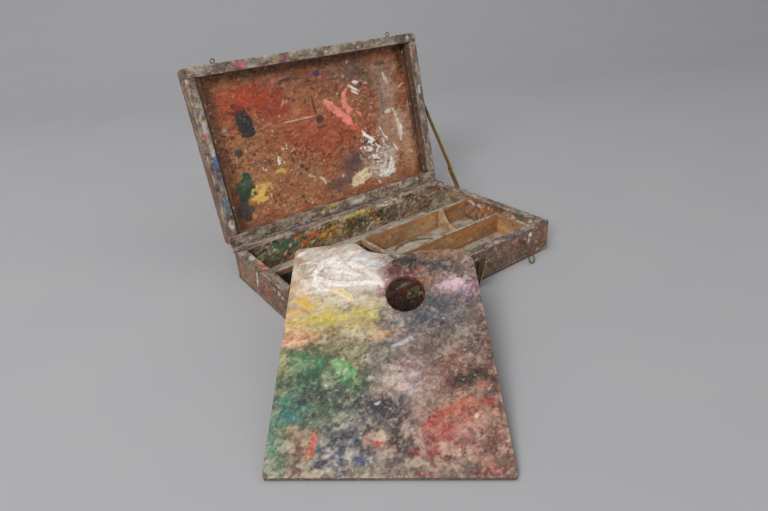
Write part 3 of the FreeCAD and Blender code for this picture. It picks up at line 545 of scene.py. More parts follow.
def wood(name, pale, mid, dark, use_pc=True, specks=0.0, rough=(0.45, 0.75), bump=0.35, grain=(0.012, 0.16, 0.16), crusty=0.0):
    m, nt, b = new_mat(name)
    cg = coords(nt, use_pc, grain)
    cf = coords(nt, use_pc, (0.05, 1.3, 1.3))
    ci = coords(nt, use_pc, (1, 1, 1))
    g = noise(nt, cg, 1.0, 5, 0.6, 0.6)
    col = ramp(nt, g, [(0.30, dark), (0.48, mid), (0.66, pale)])
    fine = noise(nt, cf, 1.0, 3, 0.6)
    col = mix(nt, 0.55, col, ramp(nt, fine, [(0.32, 0.34), (0.62, 1.0)]), "MULTIPLY")
    stain = noise(nt, ci, 0.035, 4, 0.6)
    col = mix(nt, maprange(nt, stain, 0.48, 0.72, 0.0, 0.7), col, dark)
    height = maths(nt, "MULTIPLY", fine, 0.5)
    ro = maprange(nt, stain, 0.3, 0.7, rough[0], rough[1])
    if use_pc:
        at = nt.nodes.new("ShaderNodeAttribute")
        at.attribute_type = "GEOMETRY"
        at.attribute_name = "paint"
        pf = noise(nt, ci, 0.9, 4, 0.65)
        tone = ramp(nt, pf, [(0.25, 0.70), (0.5, 0.97), (0.75, 1.2)])
        pcol = mix(nt, 1.0, at.outputs["Color"], tone, "MULTIPLY")
        if crusty:
            k1 = noise(nt, ci, 0.62, 6, 0.72, 0.6)
            pcol = mix(nt, maprange(nt, k1, 0.53, 0.70, 0.0, crusty), pcol, (200, 186, 164))
            pcol = mix(nt, maprange(nt, k1, 0.46, 0.32, 0.0, crusty), pcol, (52, 45, 44))
            bw = nt.nodes.new("ShaderNodeRGBToBW")
            nt.links.new(at.outputs["Color"], bw.inputs[0])
            calm = maprange(nt, bw.outputs[0], 0.28, 0.55, 1.0, 0.30)
            k2 = noise(nt, ci, 0.27, 6, 0.74, 1.1)
            up = maths(nt, "MULTIPLY", maprange(nt, k2, 0.555, 0.63, 0.0, min(1.0, crusty * 1.5)), calm)
            dn = maths(nt, "MULTIPLY", maprange(nt, k2, 0.445, 0.37, 0.0, min(1.0, crusty * 1.9)), calm)
            pcol = mix(nt, up, pcol, mix(nt, 0.55, pcol, (228, 210, 184)))
            pcol = mix(nt, dn, pcol, mix(nt, 1.0, pcol, (104, 94, 94), "MULTIPLY"))
            height = maths(nt, "ADD", height, maths(nt, "MULTIPLY", k2, 1.3))
        pcol = mix(nt, maprange(nt, noise(nt, ci, 0.7, 4, 0.7), 0.60, 0.74, 0.0, 0.40), pcol, (62, 52, 46))
        fac = maths(nt, "ADD", at.outputs["Alpha"], maths(nt, "MULTIPLY", maths(nt, "SUBTRACT", pf, 0.5), 0.9))
        fac = maprange(nt, fac, 0.18, 0.72, 0.0, 1.0)
        col = mix(nt, fac, col, pcol)
        height = maths(nt, "ADD", height, maths(nt, "MULTIPLY", pf, 0.9))
        ro = mix(nt, fac, ro, ramp(nt, pf, [(0.3, 0.42), (0.7, 0.66)]))
    if specks:
        for k, (c, sc, lo_) in enumerate((((184, 170, 146), 0.16, 0.60), ((104, 96, 78), 0.09, 0.58), ((150, 92, 60), 0.13, 0.66),
                                          ((66, 52, 42), 0.22, 0.66), ((120, 116, 112), 0.2, 0.70), ((178, 140, 84), 0.14, 0.68))):
            mp = nt.nodes.new("ShaderNodeVectorMath")
            mp.operation = "ADD"
            nt.links.new(ci, mp.inputs[0])
            mp.inputs[1].default_value = (31.7 * k + 3, 11.3 * k, 7.9 * k)
            f = noise(nt, mp.outputs[0], sc, 4, 0.6)
            col = mix(nt, maprange(nt, f, lo_ - 0.06 * specks, lo_ + 0.10, 0.0, 0.8), col, c)
    nt.links.new(col, b.inputs["Base Color"])
    nt.links.new(ro, b.inputs["Roughness"])
    bp = nt.nodes.new("ShaderNodeBump")
    bp.inputs["Strength"].default_value = bump
    bp.inputs["Distance"].default_value = 0.0006
    nt.links.new(height, bp.inputs["Height"])
    nt.links.new(bp.outputs[0], b.inputs["Normal"])
    return m


def metal(name, bright, dull, dirt, metallic=0.9, rough=(0.28, 0.5), dirt_at=(0.56, 0.66)):
    m, nt, b = new_mat(name)
    c = coords(nt, False)
    a = noise(nt, c, 0.22, 4, 0.6)
    f = noise(nt, c, 1.4, 3, 0.6)
    col = ramp(nt, a, [(0.35, dull), (0.62, bright)])
    col = mix(nt, 0.25, col, ramp(nt, f, [(0.3, 0.45), (0.65, 1.0)]), "MULTIPLY")
    d = noise(nt, c, 0.5, 4, 0.65)
    df = maprange(nt, d, dirt_at[0], dirt_at[1], 0.0, 0.85)
    col = mix(nt, df, col, dirt)
    nt.links.new(col, b.inputs["Base Color"])
    nt.links.new(maprange(nt, df, 0, 0.85, metallic, 0.1), b.inputs["Metallic"])
    nt.links.new(maprange(nt, f, 0.3, 0.7, rough[0], rough[1]), b.inputs["Roughness"])
    bp = nt.nodes.new("ShaderNodeBump")
    bp.inputs["Strength"].default_value = 0.2
    bp.inputs["Distance"].default_value = 0.0002
    nt.links.new(f, bp.inputs["Height"])
    nt.links.new(bp.outputs[0], b.inputs["Normal"])
    return m


def plain_mat(name, a, c2, scale, rough=(0.5, 0.7), bump=0.2, spots=None):
    m, nt, b = new_mat(name)
    c = coords(nt, False)
    f = noise(nt, c, scale, 4, 0.6)
    col = ramp(nt, f, [(0.35, a), (0.65, c2)])
    if spots:
        s = noise(nt, c, scale * 1.7, 3, 0.6)
        col = mix(nt, maprange(nt, s, 0.62, 0.68, 0.0, 0.7), col, spots)
    nt.links.new(col, b.inputs["Base Color"])
    nt.links.new(maprange(nt, f, 0.3, 0.7, rough[0], rough[1]), b.inputs["Roughness"])
    bp = nt.nodes.new("ShaderNodeBump")
    bp.inputs["Strength"].default_value = bump
    bp.inputs["Distance"].default_value = 0.0003
    nt.links.new(noise(nt, c, scale * 6, 3, 0.6), bp.inputs["Height"])
    nt.links.new(bp.outputs[0], b.inputs["Normal"])
    return m


M_base = wood("base_wood_worn", (150, 106, 78), (122, 80, 58), (78, 52, 40), crusty=.35)
M_lid = wood("lid_wood_worn", (172, 108, 74), (146, 86, 58), (98, 58, 42), crusty=.22)
M_div = wood("divider_wood_worn", (214, 158, 104), (190, 130, 82), (130, 84, 56), crusty=.15)
M_pal = wood("palette_wood_worn", (206, 176, 136), (190, 154, 112), (150, 112, 78), crusty=.30)
M_cadwood = wood("divider_wood_plain", (186, 142, 100), (160, 112, 76), (110, 74, 52), use_pc=False, specks=.35, grain=(0.012, 0.12, 0.12))
M_runner = wood("runner_wood_dark", (128, 90, 64), (100, 68, 50), (60, 42, 34), use_pc=False, specks=.25, grain=(0.12, 0.012, 0.012))
M_scoop = wood("trough_scoop_wood", (156, 142, 112), (112, 104, 82), (66, 62, 50), use_pc=False, specks=.8, grain=(0.05, 0.05, 0.05))
M_rest = wood("brush_rest_wood", (222, 196, 152), (196, 164, 118), (132, 104, 76), use_pc=False, specks=.5, grain=(0.05, 0.05, 0.05))
M_brass = metal("brass_worn", (150, 130, 88), (110, 92, 62), (66, 56, 46), rough=(.36, .58), dirt_at=(.50, .62))
M_stay = metal("brass_stay", (186, 166, 116), (150, 130, 86), (110, 94, 66), rough=(.34, .52), dirt_at=(.62, .74))
M_hinge = metal("brass_under_paint", (132, 116, 88), (98, 82, 62), (140, 128, 108), metallic=.55, rough=(.45, .65), dirt_at=(.42, .56))
M_brass_bright = metal("brass_handled", (206, 178, 112), (164, 136, 82), (104, 86, 58), rough=(0.26, 0.44), dirt_at=(0.62, 0.72))
M_steel = metal("steel_nails", (150, 145, 140), (96, 90, 86), (84, 58, 44))
M_tin = plain_mat("black_tin_japanned", (46, 42, 44), (82, 74, 74), 0.09, (0.3, 0.55), 0.25, (150, 146, 142))
M_leather = plain_mat("leather_dark", (52, 34, 28), (92, 60, 46), 0.2, (0.45, 0.7), 0.5, (132, 92, 66))

# ------------------------------------------------------------------ where the dried paint lies
WHITE, CREAM, BLACK = (226, 218, 206), (222, 202, 160), (40, 38, 40)


def confetti(c, cx, cy, rx, ry, n, colours, size=(0.8, 2.4), h=0.25, seed=1, cover=0.9, stretch=1.0, rot=None):
    rs = np.random.RandomState(seed)
    for _ in range(n):
        a, q = rs.rand() * 2 * math.pi, math.sqrt(rs.rand())
        x, y = cx + rx * q * math.cos(a), cy + ry * q * math.sin(a)
        s = size[0] + (size[1] - size[0]) * rs.rand() ** 3
        c.daub(x, y, s * stretch * (.8 + .8 * rs.rand()), s * (0.4 + 0.5 * rs.rand()), colours[rs.randint(len(colours))],
               rot=rs.rand() * 180 if rot is None else rot + rs.uniform(-25, 25),
               cover=cover * rs.uniform(.6, 1), h=h * (0.5 + rs.rand()), ragged=0.8, streak=0.2, seed=rs.randint(1, 40))


def soft(c, x, y, rx, ry, col, cover=1.0, h=.1, rot=0.0, seed=1):
    """A rubbed-in film with no edge of its own."""
    c.daub(x, y, rx * 1.35, ry * 1.35, col, rot=rot, cover=cover, h=h, ragged=.75, edge=.95, streak=.12, seed=seed, vary=.10)


def paint_palette(c):
    x, y = c.x, c.y
    D, S = c.daub, c.stroke
    Z = lambda *a, **k: soft(c, *a, **k)        # noqa: E731
    Z(0, 130, 130, 160, (146, 130, 116), h=.2, seed=2)
    # lower left: greys, navy, blue green
    Z(-55, 30, 44, 34, (124, 120, 108), h=.2, seed=3)
    Z(-86, 14, 20, 26, (92, 118, 88), h=.2, seed=4)
    Z(-90, 44, 14, 22, (112, 132, 104), h=.2, seed=5)
    Z(-34, 24, 26, 26, (96, 100, 112), h=.25, seed=6)
    Z(-72, 28, 12, 20, (170, 110, 88), .6, seed=7)
    Z(-52, 14, 16, 8, (196, 182, 160), .7, h=.3, seed=8)
    Z(-20, 8, 30, 10, (146, 132, 118), .8, seed=9)
    Z(-40, 44, 22, 10, (176, 170, 158), .6, h=.3, seed=10)
    # greens
    Z(-62, 92, 40, 30, (70, 92, 76), h=.3, seed=11)
    Z(-72, 112, 24, 14, (66, 118, 78), h=.35, seed=12)
    Z(-58, 78, 32, 14, (50, 66, 60), .9, h=.3, seed=13)
    Z(-84, 62, 18, 18, (70, 124, 112), .9, h=.3, seed=14)
    Z(-60, 58, 26, 12, (84, 96, 86), .8, h=.3, seed=15)
    Z(-90, 92, 12, 16, (132, 138, 112), .7, h=.2, seed=16)
    Z(-26, 82, 20, 20, (92, 100, 84), .8, h=.3, seed=17)
    Z(-24, 122, 26, 14, (134, 124, 92), .9, h=.3, seed=18)
    Z(-58, 128, 34, 10, (128, 122, 88), .8, h=.3, seed=19)
    # oranges, yellows
    Z(-84, 140, 20, 13, (212, 152, 110), .95, h=.3, seed=20)
    Z(-92, 160, 12, 16, (218, 178, 112), .9, h=.3, seed=21)
    Z(-56, 148, 26, 9, (166, 140, 92), .85, h=.3, seed=22)
    Z(-44, 166, 40, 14, (196, 180, 96), .95, h=.4, seed=23)
    Z(-64, 164, 20, 8, (206, 186, 78), .8, h=.4, seed=24)
    Z(-18, 168, 20, 9, (192, 180, 90), .85, h=.4, seed=25)
    Z(-8, 140, 18, 10, (204, 156, 104), .8, h=.3, seed=26)
    Z(-34, 146, 14, 8, (188, 182, 140), .8, h=.4, seed=27)
    Z(-66, 184, 36, 12, (204, 182, 138), .95, h=.5, seed=28)
    Z(-10, 184, 22, 12, (208, 194, 164), .95, h=.5, seed=29)
    Z(-86, 206, 14, 24, (214, 180, 142), .85, h=.3, seed=30)
    # whites
    Z(-50, 226, 44, 34, (218, 204, 188), h=.7, seed=31)
    Z(-24, 212, 30, 26, (214, 200, 178), h=.7, seed=32)
    Z(-20, 236, 26, 20, (196, 190, 188), .9, h=.6, seed=33)
    Z(-60, 258, 30, 12, (200, 182, 168), .9, h=.4, seed=34)
    Z(-36, 262, 14, 8, (186, 178, 176), .8, h=.4, seed=35)
    Z(-4, 220, 12, 20, (206, 190, 186), .8, h=.5, seed=36)
    # right of the thumb hole
    Z(60, 150, 46, 66, (122, 116, 110), h=.3, seed=37)
    Z(42, 164, 30, 30, (94, 98, 106), .95, h=.3, seed=38)
    Z(66, 180, 32, 20, (116, 112, 116), .8, h=.3, seed=39)
    Z(70, 204, 26, 12, (184, 156, 170), .95, h=.4, rot=-12, seed=40)
    Z(84, 190, 12, 18, (170, 148, 164), .85, h=.3, seed=41)
    Z(56, 226, 40, 14, (96, 84, 82), .95, h=.3, seed=42)
    Z(80, 234, 18, 12, (128, 112, 106), .8, h=.2, seed=43)
    Z(48, 206, 12, 12, (150, 120, 88), .8, h=.3, seed=44)
    Z(18, 226, 22, 20, (108, 66, 60), h=.3, seed=45)
    Z(26, 240, 18, 10, (58, 44, 46), .95, h=.3, seed=46)
    Z(0, 206, 9, 18, (150, 92, 98), .85, h=.3, seed=47)
    Z(36, 218, 10, 12, (150, 92, 84), .7, h=.3, seed=48)
    Z(66, 246, 24, 6, (160, 116, 84), .7, h=.1, seed=49)
    # middle and right
    Z(-4, 108, 20, 20, (122, 118, 108), .9, h=.3, seed=50)
    Z(10, 128, 24, 10, (142, 142, 148), .85, h=.3, seed=51)
    Z(46, 128, 30, 18, (132, 116, 108), .9, h=.3, seed=52)
    Z(22, 88, 20, 24, (190, 170, 168), .95, h=.45, seed=53)
    Z(18, 104, 14, 10, (160, 132, 134), .8, h=.4, seed=54)
    Z(74, 116, 24, 26, (122, 106, 96), .9, h=.3, seed=55)
    Z(62, 88, 34, 14, (132, 92, 82), .9, h=.3, seed=56)
    Z(74, 86, 20, 8, (76, 56, 50), .9, h=.3, seed=57)
    Z(90, 100, 9, 26, (132, 104, 94), .8, h=.2, seed=58)
    Z(-8, 62, 26, 14, (62, 64, 74), .95, h=.3, seed=59)
    Z(8, 40, 20, 18, (92, 76, 80), .85, h=.3, seed=60)
    Z(-10, 30, 12, 10, (178, 120, 108), .7, h=.3, seed=61)
    # reds
    Z(64, 40, 42, 36, (182, 140, 124), .95, h=.35, seed=62)
    Z(46, 40, 20, 18, (182, 92, 82), .85, h=.4, seed=63)
    Z(66, 58, 26, 10, (190, 112, 94), .8, h=.4, seed=64)
    Z(78, 30, 14, 10, (132, 86, 80), .8, h=.3, seed=65)
    Z(34, 22, 12, 16, (146, 60, 60), .85, h=.3, seed=66)
    Z(84, 52, 12, 12, (204, 160, 144), .7, h=.3, seed=67)
    Z(28, 8, 26, 8, (122, 104, 92), .8, h=.2, seed=68)
    Z(86, 8, 14, 8, (160, 76, 70), .8, h=.3, seed=69)
    Z(92, 40, 8, 40, (170, 130, 118), .8, h=.2, seed=70)
    Z(90, 84, 9, 16, (110, 74, 66), .85, h=.2, seed=71)
    Z(88, 140, 10, 30, (128, 108, 104), .8, h=.2, seed=72)
    Z(-38, 102, 15, 10, (122, 164, 112), .8, h=.4, seed=73)
    Z(-30, 90, 13, 9, (98, 142, 98), .8, h=.3, seed=74)
    Z(-96, 112, 6, 16, (176, 160, 120), .8, h=.2, seed=75)
    Z(-97, 44, 5, 20, (92, 140, 124), .8, h=.2, seed=76)
    Z(58, 108, 16, 10, (158, 112, 102), .8, h=.3, seed=77)
    Z(36, 70, 14, 12, (152, 122, 114), .8, h=.3, seed=78)
    Z(34, 112, 14, 16, (122, 100, 96), .8, h=.3, seed=79)
    # brush marks in the whites
    rs = np.random.RandomState(31)
    for k in range(64):
        a = rs.uniform(-35, 70)
        L = rs.uniform(9, 24)
        x0, y0 = rs.uniform(-84, -8), rs.uniform(200, 262)
        dx, dy = L * math.cos(math.radians(a)) / 2, L * math.sin(math.radians(a)) / 2
        tint = [(226, 214, 200), (212, 196, 180), (200, 190, 184), (230, 220, 206), (206, 182, 164), (206, 198, 198)][rs.randint(6)]
        S([(x0 - dx, y0 - dy), (x0 + rs.uniform(-3, 3), y0 + rs.uniform(-3, 3)), (x0 + dx, y0 + dy)], rs.uniform(3, 6), tint, cover=.6, h=rs.uniform(.25, .6), streak=.5, ragged=.6, seed=40 + k % 17)
    for k in range(40):
        x0, y0 = rs.uniform(-88, 0), rs.uniform(140, 198)
        a, L = rs.uniform(-30, 50), rs.uniform(7, 18)
        dx, dy = L * math.cos(math.radians(a)) / 2, L * math.sin(math.radians(a)) / 2
        tint = [(214, 198, 150), (190, 168, 92), (176, 150, 96), (206, 188, 120), (196, 160, 120)][rs.randint(5)]
        S([(x0 - dx, y0 - dy), (x0 + dx, y0 + dy)], rs.uniform(2.5, 5), tint, cover=.5, h=rs.uniform(.15, .4), streak=.5, ragged=.7, seed=60 + k % 13)
    # separate touches, top to bottom
    for pts, w, col, h, rg in (
            ([(-74, 232), (-66, 246), (-54, 250), (-46, 240)], 9, (236, 226, 216), 1.3, .35), ([(-72, 222), (-60, 214), (-44, 210), (-30, 211)], 6.5, (240, 230, 220), 1.5, .25),
            ([(-72, 222), (-70, 212), (-66, 204)], 6, (236, 226, 214), 1.4, .3), ([(-56, 238), (-44, 232), (-32, 226)], 7, (234, 226, 216), 1.2, .4),
            ([(-62, 232), (-52, 222), (-38, 220)], 6, (228, 216, 206), 1.1, .4), ([(-96, 258), (-90, 262)], 7, (226, 218, 208), 1.0, .2),
            ([(-30, 250), (-14, 240), (-2, 236)], 7, (200, 196, 196), .7, .5), ([(-20, 228), (-8, 216), (-2, 204)], 8, (216, 202, 184), .7, .5),
            ([(-55, 202), (-46, 200), (-38, 196)], 6, (234, 210, 156), 1.2, .3), ([(-42, 196), (-36, 190), (-34, 184)], 6, (232, 206, 152), 1.2, .3),
            ([(-90, 190), (-84, 186), (-80, 180)], 6, (226, 178, 62), .9, .6), ([(-86, 196), (-78, 194)], 4.5, (222, 172, 66), .8, .6),
            ([(-96, 176), (-90, 172)], 5, (220, 166, 74), .7, .6), ([(-84, 160), (-66, 160), (-52, 166)], 6, (212, 190, 66), .7, .6),
            ([(-34, 172), (-18, 170), (-8, 162)], 6, (204, 190, 82), .7, .7), ([(-22, 156), (-10, 152)], 5, (212, 170, 90), .5, .7),
            ([(-92, 136), (-80, 144), (-70, 142)], 7, (216, 146, 104), .5, .7), ([(-10, 134), (2, 142)], 5, (206, 146, 90), .5, .7),
            ([(6, 126), (18, 131), (28, 138)], 5.5, (204, 204, 208), .9, .4), ([(-46, 108), (-38, 104), (-30, 98)], 12, (126, 176, 116), .9, .6),
            ([(-52, 112), (-42, 112), (-30, 108)], 6, (146, 188, 130), .8, .8), ([(-40, 96), (-34, 90), (-30, 84)], 8, (96, 158, 96), .7, .8),
            ([(-84, 110), (-74, 116)], 7, (58, 124, 74), .7, .8), ([(-66, 120), (-56, 114)], 5, (60, 118, 74), .6, .8),
            ([(-80, 84), (-76, 87)], 4.5, (44, 138, 104), .6, .6), ([(-88, 62), (-78, 58), (-70, 52)], 5, (54, 132, 126), .7, .8),
            ([(-94, 74), (-88, 70)], 5, (74, 140, 120), .6, .8), ([(-66, 72), (-56, 66)], 5, (52, 92, 60), .5, .8),
            ([(22, 78), (24, 92)], 12, (206, 190, 190), .8, .8), ([(14, 100), (22, 108)], 6, (196, 168, 176), .6, .8),
            ([(-22, 58), (-12, 66), (2, 68), (12, 62)], 8, (44, 48, 62), .5, .7), ([(-34, 34), (-24, 44), (-18, 54)], 6, (46, 54, 78), .5, .7),
            ([(-40, 12), (-32, 22), (-30, 32)], 6, (48, 56, 80), .5, .7), ([(-48, 14), (-38, 12)], 4, (52, 72, 132), .6, .5),
            ([(-24, 18), (-16, 20)], 4, (74, 86, 146), .6, .5), ([(-30, 30), (-24, 36)], 4, (64, 82, 140), .5, .5), ([(-28, 0), (-20, 2)], 4, (64, 74, 142), .5, .5),
            ([(-63, 24), (-60, 34), (-60, 44)], 6.5, (210, 92, 66), .8, .5), ([(-66, 20), (-58, 26)], 5, (200, 120, 92), .5, .6),
            ([(-78, 7), (-70, 9)], 4.5, (164, 62, 58), .6, .6), ([(-12, 32), (-7, 29), (-1, 31)], 3.6, (206, 66, 56), .8, .4),
            ([(4, 24), (10, 34), (14, 40)], 6, (70, 44, 46), .5, .8), ([(-92, 6), (-80, 4), (-70, 5)], 5, (58, 118, 90), .5, .7),
            ([(-96, 14), (-92, 30)], 4, (84, 132, 104), .4, .7), ([(28, 30), (34, 44), (46, 52)], 7, (182, 70, 66), .6, .9),
            ([(38, 24), (52, 34), (66, 36)], 8, (196, 84, 76), .6, .9), ([(52, 60), (66, 66), (78, 62)], 6, (204, 108, 88), .6, .9),
            ([(84, 66), (90, 60)], 4, (190, 66, 60), .5, .6), ([(72, 14), (80, 20), (84, 28)], 6, (112, 58, 56), .5, .8),
            ([(60, 80), (64, 84)], 4.5, (214, 140, 72), .6, .5), ([(66, 90), (80, 94), (88, 88)], 7, (74, 50, 44), .5, .8),
            ([(62, 3), (78, 3), (92, 4)], 4.5, (150, 54, 56), .4, .5), ([(20, 4), (34, 4)], 4, (172, 92, 84), .4, .6),
            ([(94.5, 12), (94, 90), (93.5, 150)], 3.4, (96, 52, 52), .3, .4), ([(93.5, 150), (93, 226)], 3.2, (104, 66, 68), .3, .4),
            ([(60, 204), (74, 206), (86, 200)], 7, (200, 172, 190), .7, .8), ([(54, 212), (64, 216)], 5, (186, 156, 168), .5, .8),
            ([(82, 192), (86, 182)], 5, (196, 172, 192), .5, .8), ([(46, 232), (60, 236), (76, 230)], 7, (60, 56, 60), .4, .8),
            ([(34, 246), (48, 250), (64, 251)], 4, (158, 110, 80), .2, .6), ([(20, 234), (30, 240)], 8, (42, 38, 42), .5, .7),
            ([(4, 214), (8, 222)], 4, (180, 110, 124), .5, .6), ([(34, 226), (38, 222)], 3.6, (190, 110, 84), .5, .6),
            ([(-2, 196), (2, 188)], 5, (170, 118, 122), .5, .7), ([(42, 190), (48, 178)], 6, (78, 84, 96), .4, .9), ([(30, 160), (44, 154)], 6, (84, 92, 104), .4, .9),
            ([(52, 150), (62, 142)], 5, (92, 84, 82), .4, .9), ([(-60, 10), (-46, 8)], 6, (206, 192, 168), .5, .7), ([(-38, 46), (-28, 48)], 5, (206, 200, 190), .6, .6),
            ([(0, 74), (8, 84)], 5, (86, 72, 66), .4, .9)):
        top_ = pts[0][1] > 180 and pts[0][0] < 0
        S(pts, w, col, cover=.85 if top_ else .62, h=h * (1.0 if top_ else .6), ragged=rg + (.1 if top_ else .35), streak=.45 if top_ else .6, seed=int(abs(pts[0][0]) + abs(pts[0][1])) % 23 + 1)
    g_ = c.rgb.mean(1, keepdims=True)
    sat = (1.24 - .22 * smooth(120, 145, y) * smooth(16, -10, x))[:, None]
    c.rgb = np.clip(g_ + (c.rgb - g_) * sat, .003, 1)
    shade = .16 * smooth(0, 50, x) + .14 * smooth(150, 80, y) * smooth(-20, -70, x)
    c.rgb = c.rgb * (1 - shade)[:, None]
    # what rubbed off on what: the top of each ridge and the bottom of each pit take the hue of their corner
    right = smooth(-20, 50, x)[:, None]
    green = (smooth(-10, -50, x) * smooth(150, 120, y) * smooth(30, 60, y))[:, None]
    blue = (smooth(70, 40, y) * smooth(30, 0, x) * smooth(-70, -50, x))[:, None]
    warm = (smooth(120, 150, y) * smooth(20, -20, x))[:, None]
    tipc = np.array([206., 192., 170.]) * (1 - right) + np.array([206., 172., 156.]) * right
    tipc = tipc * (1 - green) + np.array([164., 178., 140.]) * green
    tipc = tipc * (1 - warm) + np.array([226., 208., 176.]) * warm
    pitc = np.array([52., 44., 42.]) * (1 - right) + np.array([60., 40., 40.]) * right
    pitc = pitc * (1 - green) + np.array([34., 52., 46.]) * green
    pitc = pitc * (1 - blue) + np.array([38., 42., 62.]) * blue
    # the broken crust that covers everything except the thick whites
    thick_ = smooth(20, -30, x) * smooth(118, 190, y)
    am = np.clip(.95 - .78 * thick_, .12, 1) * np.clip(.62 + 1.1 * (fbm2(x / 13, y / 13, 77, 3) - .3), .4, 1.1)
    am = am * (1 - .35 * np.exp(-((x - 22) / 20) ** 2 - ((y - 88) / 22) ** 2))
    P = np.stack([x * .80 + y * .60, (-x * .60 + y * .80) * 1.25, np.zeros_like(x)], 1)
    c.rgb, c.h = crust(P, c.rgb, c.h, am * .62, 5, tip=tipc, pit=pitc, size=2.4)
    lump_ = fbm2(x / 9.0 + y / 30.0, y / 8.0, 83, 4)
    lump_ = (lump_ - lump_.mean()) / lump_.std()
    rough_ = np.clip(1.0 - .85 * thick_, .12, 1)
    w = (smooth(.2, 1.6, lump_) * rough_ * .62)[:, None]
    c.rgb = c.rgb * (1 - w) + (c.rgb * .32 + lin(pitc) * .3) * w
    w = (smooth(-.6, -1.8, lump_) * rough_ * .40)[:, None]
    c.rgb = c.rgb * (1 - w) + lin(tipc) * w
    for sd_, sx, sy, an, ku, kd in ((91, 3.4, 2.2, 35, .42, .46), (93, 2.8, 2.0, -40, .30, .36), (95, 6.4, 3.0, 62, .34, .42)):
        ca_, sa_ = math.cos(math.radians(an)), math.sin(math.radians(an))
        n_ = fbm2((x * ca_ + y * sa_) / sx, (-x * sa_ + y * ca_) / sy, sd_, 3)
        n_ = (n_ - n_.mean()) / n_.std()
        up_, dn_ = smooth(.55, 1.7, n_) * am, smooth(-.55, -1.7, n_) * am
        c.rgb = c.rgb * (1 - ku * up_)[:, None] + (lin(tipc) * .6 + np.clip(c.rgb * 1.5 + .02, 0, .8) * .4) * (ku * up_)[:, None]
        c.rgb = c.rgb * (1 - kd * dn_)[:, None] + (lin(pitc) * .7 + c.rgb * .1) * (kd * dn_)[:, None]
        c.h = c.h + .18 * up_ - .10 * dn_
